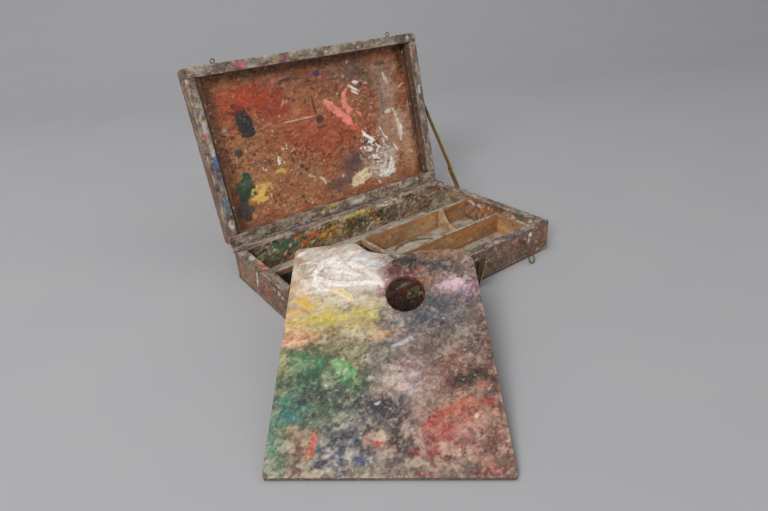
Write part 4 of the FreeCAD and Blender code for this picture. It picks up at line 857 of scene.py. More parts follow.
    # brush ridges across the thick whites
    for sd_, an, k_, kh in ((101, 24, .10, .16), (103, -12, .06, .07)):
        ca_, sa_ = math.cos(math.radians(an)), math.sin(math.radians(an))
        bend = 5 * (fbm2(x / 30, y / 30, sd_ + 1, 2) - .5)
        n_ = fbm2((x * ca_ + y * sa_) / 13.0, (-x * sa_ + y * ca_ + bend) / 1.7, sd_, 3)
        n_ = (n_ - n_.mean()) / n_.std()
        c.rgb = c.rgb * (1 - (k_ * smooth(.2, 1.8, -n_) * thick_)[:, None] * np.array([.8, 1.0, 1.15]))
        c.rgb = c.rgb * (1 + (k_ * .45 * smooth(.4, 1.8, n_) * thick_)[:, None])
        c.h = c.h + kh * n_ * thick_
    for bx, by, rx, ry, rot, col, k in ((-52, 80, 26, 8, 8, (38, 54, 50), .7), (-30, 88, 16, 7, -10, (50, 60, 56), .6), (-70, 98, 14, 8, 0, (44, 84, 62), .6), (-82, 58, 9, 6, 0, (40, 112, 108), .7),
                                        (-88, 72, 8, 5, 0, (60, 130, 112), .6), (-66, 50, 12, 6, 0, (60, 84, 80), .5), (-12, 64, 16, 8, 12, (38, 40, 54), .8), (4, 56, 10, 6, -30, (40, 40, 52), .7),
                                        (-30, 42, 9, 5, 40, (44, 50, 66), .7), (-36, 26, 6, 10, -20, (42, 50, 74), .8), (-46, 20, 7, 3, 10, (56, 66, 108), .7), (-20, 16, 7, 3, -20, (56, 66, 116), .7),
                                        (6, 30, 8, 9, 30, (62, 42, 46), .7), (14, 22, 8, 6, 0, (76, 50, 48), .6), (74, 88, 17, 7, 10, (52, 36, 32), .9), (60, 82, 8, 4, -20, (70, 48, 40), .7), (56, 104, 14, 6, 30, (112, 72, 64), .6), (40, 124, 12, 5, 20, (96, 76, 74), .6), (12, 116, 9, 5, -20, (96, 92, 90), .5), (88, 92, 6, 8, 0, (84, 50, 44), .6),
                                        (66, 34, 12, 8, 0, (110, 76, 72), .6), (84, 28, 6, 9, 0, (104, 58, 52), .7), (24, 238, 17, 9, 0, (34, 29, 33), .9), (20, 222, 18, 5, 0, (88, 40, 40), .7), (52, 246, 20, 4, 0, (150, 104, 74), .5), (84, 222, 9, 6, 0, (100, 84, 86), .5), (12, 228, 9, 8, 0, (96, 50, 50), .7),
                                        (40, 236, 12, 6, 10, (70, 60, 64), .6), (60, 226, 14, 6, -8, (62, 58, 66), .6), (76, 232, 10, 5, 0, (86, 76, 76), .5), (40, 206, 6, 7, 0, (110, 84, 60), .6),
                                        (46, 178, 16, 8, -20, (64, 70, 80), .7), (36, 160, 14, 7, 20, (74, 82, 92), .6), (66, 170, 12, 7, 0, (74, 72, 80), .6), (80, 156, 10, 7, 0, (96, 84, 80), .5),
                                        (56, 140, 14, 6, 10, (84, 76, 74), .5), (46, 40, 12, 7, 20, (176, 62, 58), .45), (60, 58, 12, 4, 10, (184, 84, 68), .4), (34, 28, 6, 9, 0, (132, 52, 54), .6), (50, 22, 12, 5, -10, (206, 172, 156), .5), (72, 44, 10, 6, 20, (210, 164, 146), .6), (60, 36, 8, 5, -30, (204, 150, 134), .5), (78, 12, 12, 5, 0, (168, 120, 106), .5), (28, 56, 10, 6, 30, (190, 150, 138), .5), (84, 80, 8, 5, 0, (200, 120, 96), .4),
                                        (70, 48, 8, 5, 0, (196, 96, 76), .5),
                                        (-52, 16, 9, 3, 35, (36, 42, 66), .85), (-40, 34, 10, 3, 30, (40, 48, 72), .8), (-48, 46, 8, 3, 20, (44, 52, 60), .7), (-56, 26, 6, 3, 60, (48, 60, 84), .7),
                                        (-34, 8, 7, 2.6, 10, (44, 52, 84), .8), (-24, 30, 4, 8, 20, (44, 48, 70), .75), (-12, 44, 9, 4, 20, (40, 38, 50), .75), (8, 46, 4, 9, -20, (56, 40, 46), .75),
                                        (16, 30, 5, 8, -30, (58, 34, 40), .8), (8, 14, 9, 4, 10, (70, 50, 54), .7), (-60, 6, 9, 4, 0, (190, 176, 150), .6), (-44, 24, 6, 4, 30, (206, 196, 178), .65),
                                        (-32, 20, 6, 4, -20, (200, 190, 170), .6), (-4, 36, 7, 4, 10, (206, 180, 160), .6), (-2, 22, 7, 4, 20, (196, 168, 150), .6), (22, 14, 7, 5, 0, (196, 176, 156), .6),
                                        (28, 30, 4, 8, 10, (196, 172, 156), .5), (-66, 40, 6, 8, 0, (176, 160, 130), .5), (-80, 30, 7, 5, 0, (186, 176, 148), .5), (-86, 16, 6, 8, 0, (64, 112, 82), .6),
                                        (-94, 30, 4, 9, 0, (64, 128, 104), .6), (-72, 70, 9, 4, 20, (44, 62, 56), .7), (-46, 66, 12, 4, -10, (52, 60, 58), .7), (-20, 98, 9, 4, 30, (70, 74, 64), .6),
                                        (-56, 120, 14, 4, -8, (62, 82, 58), .5), (-78, 122, 9, 5, 0, (60, 112, 72), .6), (-14, 130, 10, 4, -10, (104, 98, 74), .5), (-36, 134, 12, 4, 5, (168, 156, 110), .5),
                                        (16, 158, 9, 5, 30, (124, 122, 118), .5), (26, 148, 6, 9, 20, (84, 84, 86), .6), (70, 136, 8, 4, 20, (172, 158, 146), .4), (58, 120, 8, 4, -20, (176, 156, 144), .4),
                                        (84, 170, 6, 9, 0, (90, 78, 82), .6), (70, 186, 12, 4, 10, (100, 92, 104), .6), (62, 200, 12, 5, -8, (196, 168, 184), .55), (78, 206, 8, 5, 10, (204, 178, 190), .5),
                                        (92, 200, 4, 10, 0, (112, 66, 80), .6), (94, 120, 3.6, 20, 0, (104, 60, 58), .5), (95, 60, 3, 18, 0, (112, 58, 54), .5), (86, 64, 6, 4, 0, (170, 56, 52), .6), (90, 10, 6, 6, 0, (70, 70, 58), .5), (-16, 8, 12, 4, 0, (84, 78, 70), .5)):
        f = fbm2(x / 4.0, y / 4.0, 84 + int(abs(bx)) % 9, 4) - .5
        u_, v_ = (x - bx) * math.cos(math.radians(rot)) + (y - by) * math.sin(math.radians(rot)), -(x - bx) * math.sin(math.radians(rot)) + (y - by) * math.cos(math.radians(rot))
        w = (smooth(1.25, .45, np.hypot(u_ / rx, v_ / ry) + 2.6 * f) * k)[:, None]
        c.rgb = c.rgb * (1 - w) + lin(col) * w
    for pts, w, col, h in (([(-76, 226), (-68, 240), (-56, 246), (-48, 238), (-40, 232)], 7, (240, 233, 226), 1.2), ([(-72, 220), (-58, 212), (-42, 208), (-26, 210), (-8, 210)], 5, (240, 232, 224), 1.2),
                           ([(-74, 222), (-73, 212), (-66, 204), (-60, 202)], 5.5, (238, 230, 220), 1.2), ([(-64, 232), (-52, 228), (-40, 222), (-28, 222)], 6, (236, 228, 222), 1.0),
                           ([(-52, 240), (-38, 240), (-26, 234)], 6, (234, 226, 220), 1.0), ([(-36, 248), (-24, 246), (-12, 240)], 4, (214, 210, 212), .6),
                           ([(-56, 203), (-46, 200), (-38, 194), (-34, 186)], 6.5, (238, 216, 168), 1.1), ([(-90, 190), (-82, 186), (-76, 178)], 6, (222, 178, 70), .8),
                           ([(-94, 176), (-86, 172)], 5, (214, 172, 76), .6), ([(-20, 226), (-10, 216), (-4, 206)], 5, (228, 218, 204), .7)):
        S(pts, w * 1.4, col, cover=.82, h=h, ragged=.55, streak=.45, seed=int(pts[0][1]) % 13 + 3)
    for bx, by, rx, ry, k in ((16, 122, 34, 20, -.26), (-84, 141, 20, 12, .26), (60, 44, 36, 26, -.14), (72, 203, 22, 12, .22), (42, 238, 34, 12, -.24), (-62, 92, 34, 20, .06), (84, 118, 12, 34, -.12)):
        c.rgb = c.rgb * (1 + k * np.exp(-((x - bx) / rx) ** 2 - ((y - by) / ry) ** 2))[:, None]
    c.rgb = contrast(c.rgb, 1.12)
    # fresher touches on top of the crust
    for pts, w, col, h, rg in (
            ([(-74, 232), (-66, 246), (-54, 250), (-46, 240)], 8, (228, 218, 208), 1.2, .5), ([(-72, 222), (-60, 214), (-44, 210), (-30, 211)], 6.5, (234, 224, 214), 1.5, .35),
            ([(-72, 222), (-70, 212), (-66, 204)], 5.5, (228, 218, 206), 1.3, .45), ([(-56, 238), (-44, 232), (-32, 226)], 6, (226, 216, 206), 1.1, .6),
            ([(-62, 232), (-52, 222), (-38, 220)], 5, (218, 206, 196), 1.0, .6), ([(-66, 240), (-60, 230), (-56, 222)], 4, (206, 196, 190), .9, .6), ([(-96, 258), (-90, 262)], 7, (222, 214, 204), 1.0, .2),
            ([(-55, 202), (-46, 200), (-38, 196)], 5.5, (226, 204, 156), 1.2, .5), ([(-42, 196), (-36, 190), (-34, 184)], 5, (224, 200, 152), 1.1, .5),
            ([(-44, 106), (-38, 103), (-31, 99)], 11, (112, 160, 104), .8, .9), ([(-48, 109), (-42, 108)], 6, (134, 178, 118), .8, .9),
            ([(6, 126), (16, 130), (24, 136)], 4, (190, 190, 192), .8, .7), ([(-62, 26), (-60, 34), (-60, 42)], 4.5, (198, 96, 74), .6, .8),
            ([(-12, 32), (-7, 29), (-1, 31)], 3, (186, 70, 62), .6, .6), ([(-90, 190), (-84, 186), (-80, 180)], 4.5, (214, 172, 84), .7, .9)):
        S(pts, w, col, cover=.85, h=h * .7, ragged=rg, streak=.55, seed=int(abs(pts[0][0]) * 3 + abs(pts[0][1])) % 23 + 2)
    # the worn rim round the thumb hole
    hr = np.hypot((x - 20.3) / 19.8, (y - 192.9) / 24.5)
    ring_ = smooth(1.22, 1.04, hr) * smooth(.4, .6, fbm2(x / 6, y / 6, 91, 3) + .1)
    c.rgb = c.rgb * (1 - .6 * ring_[:, None]) + lin((92, 52, 50)) * .6 * ring_[:, None]
    confetti(c, 30, 90, 66, 90, 150, [(212, 202, 190), (60, 52, 54), (196, 120, 100), (120, 128, 132), (170, 148, 130)], (.8, 2.2), .2, 21)
    confetti(c, -40, 50, 56, 56, 90, [(206, 198, 186), (44, 50, 56), (96, 140, 120), (150, 110, 92)], (.8, 2.4), .2, 22)
    confetti(c, -48, 180, 44, 34, 40, [(226, 206, 170), (172, 136, 96), (196, 120, 128), (150, 132, 88)], (.8, 2.0), .2, 23)
    wz = np.exp(-((x + 50) / 40) ** 4 - ((y - 230) / 36) ** 4)
    c.rgb, c.h = smear(P, c.rgb, c.h, wz * .55, 71, 35, tip=(232, 222, 210), pit=(176, 158, 142), size=(8.0, 2.2))
    c.h = c.h + wz * .8 * (fbm2(x / 6.0, y / 6.0, 73, 3) - .4)
    c.cov = np.maximum(c.cov, 0.75 * smooth(-97, -88, x))


def lid_coords(fn):
    def g(c):
        c.y = 113.3 - c.y
        fn(c)
    return g


def lid_outside(c):
    """Handling marks on the top of the shut lid: darker round the rim, a few drips and rings."""
    Z = lambda *a, **k: soft(c, *a, **k)        # noqa: E731
    x, y = c.x, c.y
    rim_ = smooth(22, 2, np.minimum(175 - np.abs(x), 110.5 - np.abs(y)))
    f = fbm2(x / 16, y / 9, 301, 4)
    w = (np.clip(rim_ * (.35 + 1.1 * (f - .3)), 0, .8))[:, None]
    c.rgb = c.rgb * (1 - w) + lin((78, 56, 46)) * w
    c.cov = np.maximum(c.cov, w[:, 0])
    Z(-90, -40, 60, 22, (132, 90, 68), .6, h=.03, seed=3)
    Z(60, 30, 70, 26, (108, 74, 58), .5, h=.03, seed=4)
    Z(120, -60, 36, 18, (146, 120, 98), .5, h=.05, seed=5)
    Z(-20, 70, 60, 12, (96, 74, 62), .5, h=.03, seed=6)
    c.rgb, c.h = crust(np.stack([x * .4, y, np.zeros_like(x)], 1), c.rgb, c.h, .5 * np.ones(len(x)), 45, tip=(168, 132, 104), pit=(66, 44, 36), size=2.6)
    confetti(c, 0, 0, 170, 106, 130, [(196, 180, 156), (70, 52, 44), (150, 76, 58), (88, 96, 100), (176, 140, 84)], (.7, 2.4), .25, 46, .85, 1.5)
    for x0, y0, rx, ry, col in ((-120, 60, 7, 4, (204, 192, 172)), (-108, 52, 4, 2.6, (198, 184, 164)), (30, -70, 8, 3, (72, 92, 116)), (90, 74, 5, 4, (168, 66, 52)),
                                (-50, -84, 6, 3, (188, 154, 72)), (140, 10, 3.4, 7, (206, 196, 180)), (-10, 14, 4, 3, (64, 84, 66)), (-150, -20, 4, 8, (118, 92, 84))):
        c.daub(x0, y0, rx, ry, col, h=.35, ragged=.8, seed=int(abs(x0) + abs(y0)) % 17 + 1)


def paint_lid(c):
    D, S = c.daub, c.stroke
    Z = lambda *a, **k: soft(c, *a, **k)        # noqa: E731
    x, y = c.x, c.y
    c.cov[:] = .55
    Z(-96, 176, 44, 22, (158, 72, 52), .8, h=.08, seed=3)
    Z(-66, 160, 30, 22, (146, 66, 54), .7, h=.08, seed=4)
    Z(-112, 150, 22, 22, (132, 62, 48), .7, h=.06, seed=5)
    Z(0, 104, 50, 34, (148, 68, 52), .8, h=.06, seed=6)
    Z(-30, 122, 40, 22, (152, 76, 58), .6, h=.06, seed=7)
    Z(30, 120, 30, 22, (156, 78, 56), .6, h=.06, seed=8)
    Z(60, 190, 60, 14, (112, 84, 72), .6, h=.05, seed=9)
    Z(-20, 186, 60, 12, (128, 84, 66), .5, h=.05, seed=10)
    Z(90, 178, 30, 14, (110, 82, 74), .6, h=.05, seed=11)
    Z(112, 130, 20, 40, (122, 96, 84), .6, h=.05, seed=12)
    Z(78, 50, 34, 20, (176, 152, 132), .7, h=.2, seed=13)
    Z(44, 62, 26, 16, (96, 74, 72), .75, h=.15, seed=14)
    Z(18, 34, 34, 12, (110, 84, 78), .7, h=.15, seed=15)
    Z(-118, 60, 24, 14, (176, 128, 62), .6, h=.15, seed=16)
    Z(-64, 76, 26, 24, (168, 116, 78), .5, h=.06, seed=17)
    Z(-40, 70, 22, 16, (132, 88, 68), .5, h=.1, seed=18)
    Z(-56, 36, 40, 16, (150, 98, 66), .5, h=.05, seed=19)
    Z(140, 92, 14, 34, (164, 126, 100), .5, h=.06, seed=20)
    Z(-128, 104, 26, 24, (156, 104, 70), .5, h=.05, seed=21)
    # painted shade: a dark film with no relief along the foot of the front rail, where the rail shades the panel
    Z(0, 206, 150, 5, (88, 62, 50), .75, h=0, seed=22)
    Z(150, 190, 8, 20, (58, 44, 38), .9, h=0, seed=23)
    am = .80 * np.clip(.45 + 1.6 * (fbm2(x / 14, y / 14, 78, 3) - .35), .15, 1)
    P = np.stack([x, y, np.zeros_like(x)], 1)
    c.rgb, c.h = crust(P / np.array([1.6, 1, 1]), c.rgb, c.h, am, 15, tip=(190, 134, 98), pit=(78, 46, 36), size=2.0)
    c.rgb, c.h = crust(P / np.array([2.2, 1, 1]), c.rgb, c.h, am * .6, 19, tip=(184, 124, 84), pit=(92, 54, 42), size=5.5)
    confetti(c, 0, 112, 152, 90, 190, [(74, 46, 38), (96, 60, 46), (60, 44, 40), (120, 66, 50)], (.8, 3.0), .12, 51, .8, 1.4)
    confetti(c, 20, 100, 140, 90, 70, [(212, 196, 172), (196, 170, 140), (206, 180, 150)], (.7, 1.9), .2, 55, .9)
    confetti(c, 84, 60, 38, 46, 60, [(216, 206, 192), (190, 170, 150), (84, 66, 62), (206, 188, 170)], (.9, 3.2), .3, 52)
    confetti(c, -84, 96, 50, 40, 40, [(200, 168, 120), (196, 178, 150), (80, 60, 50)], (.7, 2.2), .2, 53)
    confetti(c, -40, 66, 40, 26, 26, [(60, 50, 46), (206, 186, 160), (92, 70, 56), (186, 90, 60)], (.8, 2.6), .2, 54)
    for pts, w, col, h, rg in (
            ([(-120, 172), (-118, 168)], 9, (58, 46, 44), .3, .9), ([(-128, 46), (-116, 52)], 6, (190, 150, 70), .4, .9), ([(-118, 48), (-110, 56), (-100, 62)], 8, (200, 150, 62), .6, .9),
            ([(-112, 44), (-104, 48)], 7, (206, 160, 76), .6, .9), ([(-98, 66), (-94, 56)], 4, (190, 150, 80), .5, .7), ([(-96, 52), (-94, 38)], 3, (70, 56, 46), .2, .5),
            ([(-84, 76), (-76, 78), (-70, 74)], 6, (196, 160, 66), .5, .8), ([(-56, 92), (-54, 84)], 3.4, (72, 92, 60), .4, .5),
            ([(12, 154), (18, 150)], 6, (216, 130, 112), .7, .7), ([(50, 164), (48, 160)], 5, (214, 126, 110), .7, .6),
            ([(52, 112), (54, 106)], 7, (206, 92, 70), .6, .5), ([(62, 130), (68, 124)], 5, (214, 122, 108), .6, .6),
            ([(-6, 164), (-7, 152), (-5, 140)], 4, (62, 42, 38), .3, .4), ([(-8, 122), (0, 120), (6, 122)], 3.2, (72, 46, 40), .3, .7),
            ([(56, 168), (64, 162), (72, 158)], 3.4, (206, 196, 184), .5, .6), ([(64, 172), (72, 170)], 4, (198, 186, 174), .5, .6), ([(60, 160), (70, 154)], 3, (200, 188, 176), .4, .6),
            ([(64, 100), (72, 92), (82, 84)], 5, (222, 214, 204), .6, .8), ([(72, 84), (80, 78)], 5, (218, 210, 200), .6, .8), ([(66, 92), (70, 84)], 4, (56, 50, 50), .4, .7),
            ([(100, 62), (98, 50), (92, 40)], 4.5, (212, 202, 192), .6, .6), ([(84, 36), (92, 34), (98, 28)], 7, (206, 192, 184), .6, .8), ([(74, 44), (82, 40)], 6, (196, 176, 170), .5, .8),
            ([(102, 108), (98, 96), (96, 84)], 5, (122, 108, 100), .3, .8), ([(136, 96), (134, 84), (132, 74)], 6, (214, 200, 186), .5, .6),
            ([(36, 36), (46, 40), (60, 42)], 9, (220, 188, 140), .7, .9), ([(44, 32), (54, 34), (66, 36)], 6, (226, 198, 152), .7, .9),
            ([(28, 58), (40, 66), (52, 70)], 10, (84, 62, 66), .3, .9), ([(6, 34), (20, 38), (30, 36)], 8, (96, 74, 72), .3, .9), ([(10, 54), (16, 62)], 6, (140, 56, 44), .3, .8),
            ([(-50, 190), (-34, 192), (-20, 190)], 4, (84, 62, 62), .2, .9), ([(-30, 178), (-14, 180)], 3, (96, 88, 56), .2, .8), ([(-46, 170), (-38, 166)], 5, (82, 66, 62), .3, .8),
            ([(-54, 138), (-30, 138), (-10, 138)], 1.8, (196, 164, 140), .15, .7), ([(68, 196), (74, 188), (76, 178)], 6, (92, 76, 80), .2, .9), ([(108, 190), (122, 190)], 6, (80, 60, 58), .2, .9),
            ([(84, 176), (90, 172)], 4, (92, 110, 70), .3, .8), ([(118, 176), (122, 166), (124, 160)], 5, (190, 172, 160), .3, .8), ([(-146, 140), (-138, 136)], 3, (70, 50, 44), .2, .7),
            ([(-76, 86), (-76, 96)], 4, (206, 190, 172), .3, .8), ([(-20, 54), (-14, 48), (-12, 40)], 3, (200, 180, 156), .3, .8), ([(-36, 60), (-28, 56)], 4, (200, 170, 150), .3, .8)):
        S(pts, w, col, h=h, ragged=rg, seed=int(abs(pts[0][0]) + abs(pts[0][1])) % 23 + 1)
    for x0, y0, rx, ry, rot, col, hh in ((-114, 160, 9.5, 13, 12, (46, 46, 48), .5), (-109, 141, 9.5, 14, 14, (40, 44, 46), .6), (-105, 150, 6, 9, 0, (44, 46, 48), .4),
                                          (-127, 76, 9, 11, 10, (40, 76, 60), .6), (-133, 66, 12, 12, 0, (38, 72, 58), .7), (-126, 62, 9, 9, 0, (36, 68, 54), .6), (-137, 55, 8, 8, 0, (40, 66, 56), .5),
                                          (-141, 42, 9, 10, 0, (68, 62, 64), .4), (-137, 32, 8, 8, 0, (72, 62, 60), .4), (-146, 36, 5, 7, 0, (84, 74, 70), .3), (-130, 38, 5, 6, 0, (78, 66, 62), .3),
                                          (20, 146, 7, 6, -40, (222, 124, 108), .8), (30, 136, 7.5, 6, -40, (220, 116, 98), .8), (42, 124, 9, 7.5, -40, (218, 110, 92), .9), (46, 118, 6, 5, 0, (216, 112, 92), .8),
                                          (45, 156, 4, 7, 15, (220, 120, 104), .8), (43, 144, 4, 6, -10, (218, 116, 100), .8), (48, 134, 4.5, 5, 0, (216, 118, 102), .8),
                                          (38, 58, 16, 11, 20, (92, 70, 72), .2), (26, 40, 18, 7, 10, (100, 80, 76), .2), (46, 33, 15, 6.5, 8, (222, 194, 150), .7), (36, 30, 8, 5, 0, (214, 182, 136), .6), (60, 36, 8, 5, 0, (226, 204, 164), .7),
                                          (100, 30, 14, 5, 10, (200, 184, 172), .5), (90, 34, 12, 5, 30, (206, 190, 180), .5), (108, 42, 4, 9, -12, (214, 204, 196), .6), (80, 60, 9, 4, -40, (214, 204, 194), .6), (70, 74, 8, 4, -30, (216, 206, 196), .6)):
        D(x0, y0, rx, ry, col, rot=rot, h=hh, ragged=.5, edge=.2, streak=.1, seed=int(abs(x0) + y0) % 17 + 1)
    confetti(c, -112, 54, 15, 13, 46, [(206, 160, 70), (214, 172, 84), (190, 140, 60), (220, 186, 110)], (.9, 3.2), .4, 57, .95)
    confetti(c, 80, 62, 30, 30, 70, [(220, 210, 200), (206, 194, 182), (60, 50, 50), (196, 180, 168)], (1.0, 3.8), .4, 58, .95)
    confetti(c, 46, 34, 22, 9, 40, [(226, 200, 156), (214, 180, 130), (96, 76, 70)], (.9, 2.8), .35, 59, .95)
    confetti(c, -116, 150, 26, 26, 24, [(56, 46, 44), (96, 50, 42)], (.7, 2.2), .15, 60, .9)
    rs = np.random.RandomState(71)
    for k in range(46):
        x0, y0 = rs.uniform(-150, 150), rs.uniform(24, 200)
        a, L = math.radians(rs.uniform(-30, 210)), rs.uniform(5, 15)
        col = [(66, 44, 40), (84, 56, 46), (96, 84, 84), (200, 172, 144), (176, 66, 50), (52, 46, 48)][rs.randint(6)]
        S([(x0, y0), (x0 + L * math.cos(a) * .5 + rs.uniform(-2, 2), y0 + L * math.sin(a) * .5), (x0 + L * math.cos(a), y0 + L * math.sin(a))], rs.uniform(1.6, 3.6), col, cover=.75, h=.2, ragged=.8, streak=.4, seed=k % 17 + 3)
    for k in range(16):
        x0, y0 = rs.normal(88, 16), rs.normal(60, 20)
        a, L = math.radians(rs.uniform(90, 170)), rs.uniform(5, 14)
        S([(x0, y0), (x0 + L * math.cos(a), y0 + L * math.sin(a))], rs.uniform(2, 4.4), [(226, 218, 210), (206, 194, 184), (60, 54, 56)][rs.randint(3)], cover=.9, h=.5, ragged=.7, streak=.3, seed=k % 13 + 3)
    for pts, w, col, h in (([(14, 152), (26, 140), (38, 128), (48, 116)], 11, (222, 116, 100), .7), ([(45, 160), (42, 150), (46, 140), (54, 134)], 7, (220, 120, 106), .7),
                            ([(56, 112), (60, 104)], 6, (206, 92, 76), .5), ([(34, 38), (48, 42), (62, 46)], 7, (224, 194, 146), .6),
                            ([(92, 30), (102, 38), (108, 52)], 5, (220, 210, 202), .6), ([(-118, 44), (-110, 54), (-104, 64)], 8, (206, 158, 70), .5),
                            ([(128, 118), (132, 100), (130, 84)], 7, (196, 176, 158), .3), ([(104, 176), (110, 150), (108, 120)], 6, (96, 84, 86), .2)):
        S(pts, w, col, cover=.9, h=h, ragged=.35, streak=.3, seed=int(pts[0][1]) % 11 + 2)
    Z(40, 52, 150, 40, (170, 120, 84), .30, h=0, seed=31)
    Z(124, 110, 34, 60, (180, 146, 120), .38, h=.05, seed=32)
    Z(-20, 150, 60, 30, (170, 104, 76), .25, h=0, seed=33)
    Z(-100, 178, 40, 15, (170, 68, 46), .6, h=.05, seed=34)
    Z(-58, 160, 16, 16, (150, 60, 56), .5, h=.05, seed=35)
    Z(-10, 116, 34, 20, (158, 74, 60), .45, h=.05, seed=36)
    Z(36, 60, 22, 13, (88, 68, 68), .75, h=.1, seed=37)
    Z(10, 38, 28, 8, (100, 76, 72), .6, h=.1, seed=38)
    Z(56, 186, 30, 12, (110, 82, 72), .5, h=.05, seed=39)
    Z(104, 60, 16, 18, (176, 160, 148), .5, h=.1, seed=40)
    n_ = fbm2(x / 7.0, y / 2.0, 207, 4)
    n_ = (n_ - n_.mean()) / n_.std()
    c.rgb = c.rgb * (1 - .24 * smooth(.5, 1.8, n_))[:, None]
    c.rgb = c.rgb * (1 + .14 * smooth(-.5, -1.8, n_))[:, None]
    c.rgb = contrast(c.rgb, 1.30) * 1.10 * np.array([1.07, 1.17, 1.22])
    for x0, y0, r, col, h in ((-128, 112, 6.5, (56, 46, 50), .5), (-142, 106, 3.6, (74, 58, 50), .3), (-108, 106, 3, (70, 54, 46), .3), (-1, 133, 7, (74, 50, 44), .6), (7, 192, 5.2, (44, 56, 112), .5),
                              (118, 121, 4.6, (222, 214, 202), .6), (126, 122, 3, (212, 200, 186), .5), (-44, 76, 4.5, (66, 54, 54), .3), (-38, 70, 3.6, (60, 50, 48), .3),
                              (-48, 66, 3, (74, 56, 50), .3), (-12, 68, 3.4, (192, 74, 44), .4), (-34, 164, 3.4, (90, 68, 60), .2), (-18, 158, 2.8, (84, 60, 52), .2),
                              (-52, 34, 3.4, (66, 58, 56), .3), (-84, 30, 3, (190, 160, 120), .3), (18, 46, 2.6, (212, 196, 176), .3), (60, 200, 2.6, (206, 190, 170), .2),
                              (-128, 28, 4, (206, 150, 70), .4), (50, 182, 3, (186, 160, 136), .2), (30, 166, 2.4, (96, 66, 56), .2), (92, 134, 3, (120, 84, 70), .2), (148, 52, 4, (206, 190, 170), .4),
                              (144, 120, 3, (150, 110, 84), .2), (-150, 168, 3, (196, 150, 110), .2), (-138, 144, 3.6, (186, 172, 156), .3), (26, 84, 3, (96, 66, 58), .2)):
        D(x0, y0, r, r * .88, col, h=h, ragged=.35, seed=int(r * 10) % 9 + 2)


def rim_paint(seed, marks=(), along=0, flecks=1.0):
    """Greasy beige and grey smears along the top of a wall or rail, with single touches of colour."""
    def fn(c):
        lo_x, hi_x, lo_y, hi_y = c.x.min(), c.x.max(), c.y.min(), c.y.max()
        u = c.x if along == 0 else c.y
        lo_, hi_ = (lo_x, hi_x) if along == 0 else (lo_y, hi_y)
        v0 = ((lo_y + hi_y) / 2) if along == 0 else ((lo_x + hi_x) / 2)
        hw = ((hi_y - lo_y) / 2) if along == 0 else ((hi_x - lo_x) / 2)
        c.cov = np.maximum(c.cov, .72)
        f = fbm2(u / 22.0, (c.y if along == 0 else c.x) / 9.0, seed, 4)
        w = smooth(.36, .6, f)[:, None]
        c.rgb = c.rgb * .25 + .75 * (lin((106, 84, 72)) * (1 - w) + lin((150, 134, 116)) * w)
        am = np.clip(.3 + 1.4 * (fbm2(u / 15, c.x * .05 + c.y * .05, seed + 3, 3) - .3), .1, .9)
        blot = fbm2(u / 11.0 + 5, (c.y if along == 0 else c.x) / 6.0, seed + 21, 4)
        blot = (blot - blot.mean()) / max(blot.std(), 1e-6)
        w = (smooth(.35, 1.4, blot) * .62)[:, None]
        c.rgb = c.rgb * (1 - w) + lin((62, 46, 44)) * w
        w = (smooth(-.5, -1.5, blot) * .60)[:, None]
        c.rgb = c.rgb * (1 - w) + lin((196, 182, 162)) * w
        c.rgb, c.h = crust(c.P, c.rgb, c.h, am, seed, tip=(196, 180, 160), pit=(56, 42, 38), size=2.8)
        edge_ = smooth(hw * .62, hw * .95, np.abs((c.y if along == 0 else c.x) - v0)) * smooth(-1.2, .4, -blot)
        c.rgb = c.rgb * (1 - .42 * edge_)[:, None] + lin((204, 188, 164)) * (.42 * edge_)[:, None]
        rs = np.random.RandomState(seed)
        cols = [(200, 190, 174), (60, 52, 48), (70, 56, 50), (142, 76, 64), (86, 108, 92), (186, 148, 86), (184, 132, 130), (112, 108, 112), (92, 72, 62), (84, 98, 130), (150, 120, 92)]
        for _ in range(int((hi_ - lo_) / 9 * flecks)):
            q, v = rs.uniform(lo_, hi_), v0 + rs.uniform(-1, 1) * hw
            a, b = (q, v) if along == 0 else (v, q)
            s = rs.uniform(1, 3.4)
            c.daub(a, b, s * (1.5 if along == 0 else .7), s * (.7 if along == 0 else 1.5), cols[rs.randint(len(cols))], rot=rs.uniform(-20, 20), h=.3, ragged=.8, seed=rs.randint(1, 30), cover=.9)
        for a, b, rx, ry, col in marks:
            c.daub(a, b, rx, ry, col, h=.4, ragged=.7, seed=int(abs(a) + abs(b)) % 19 + 1)
    return fn


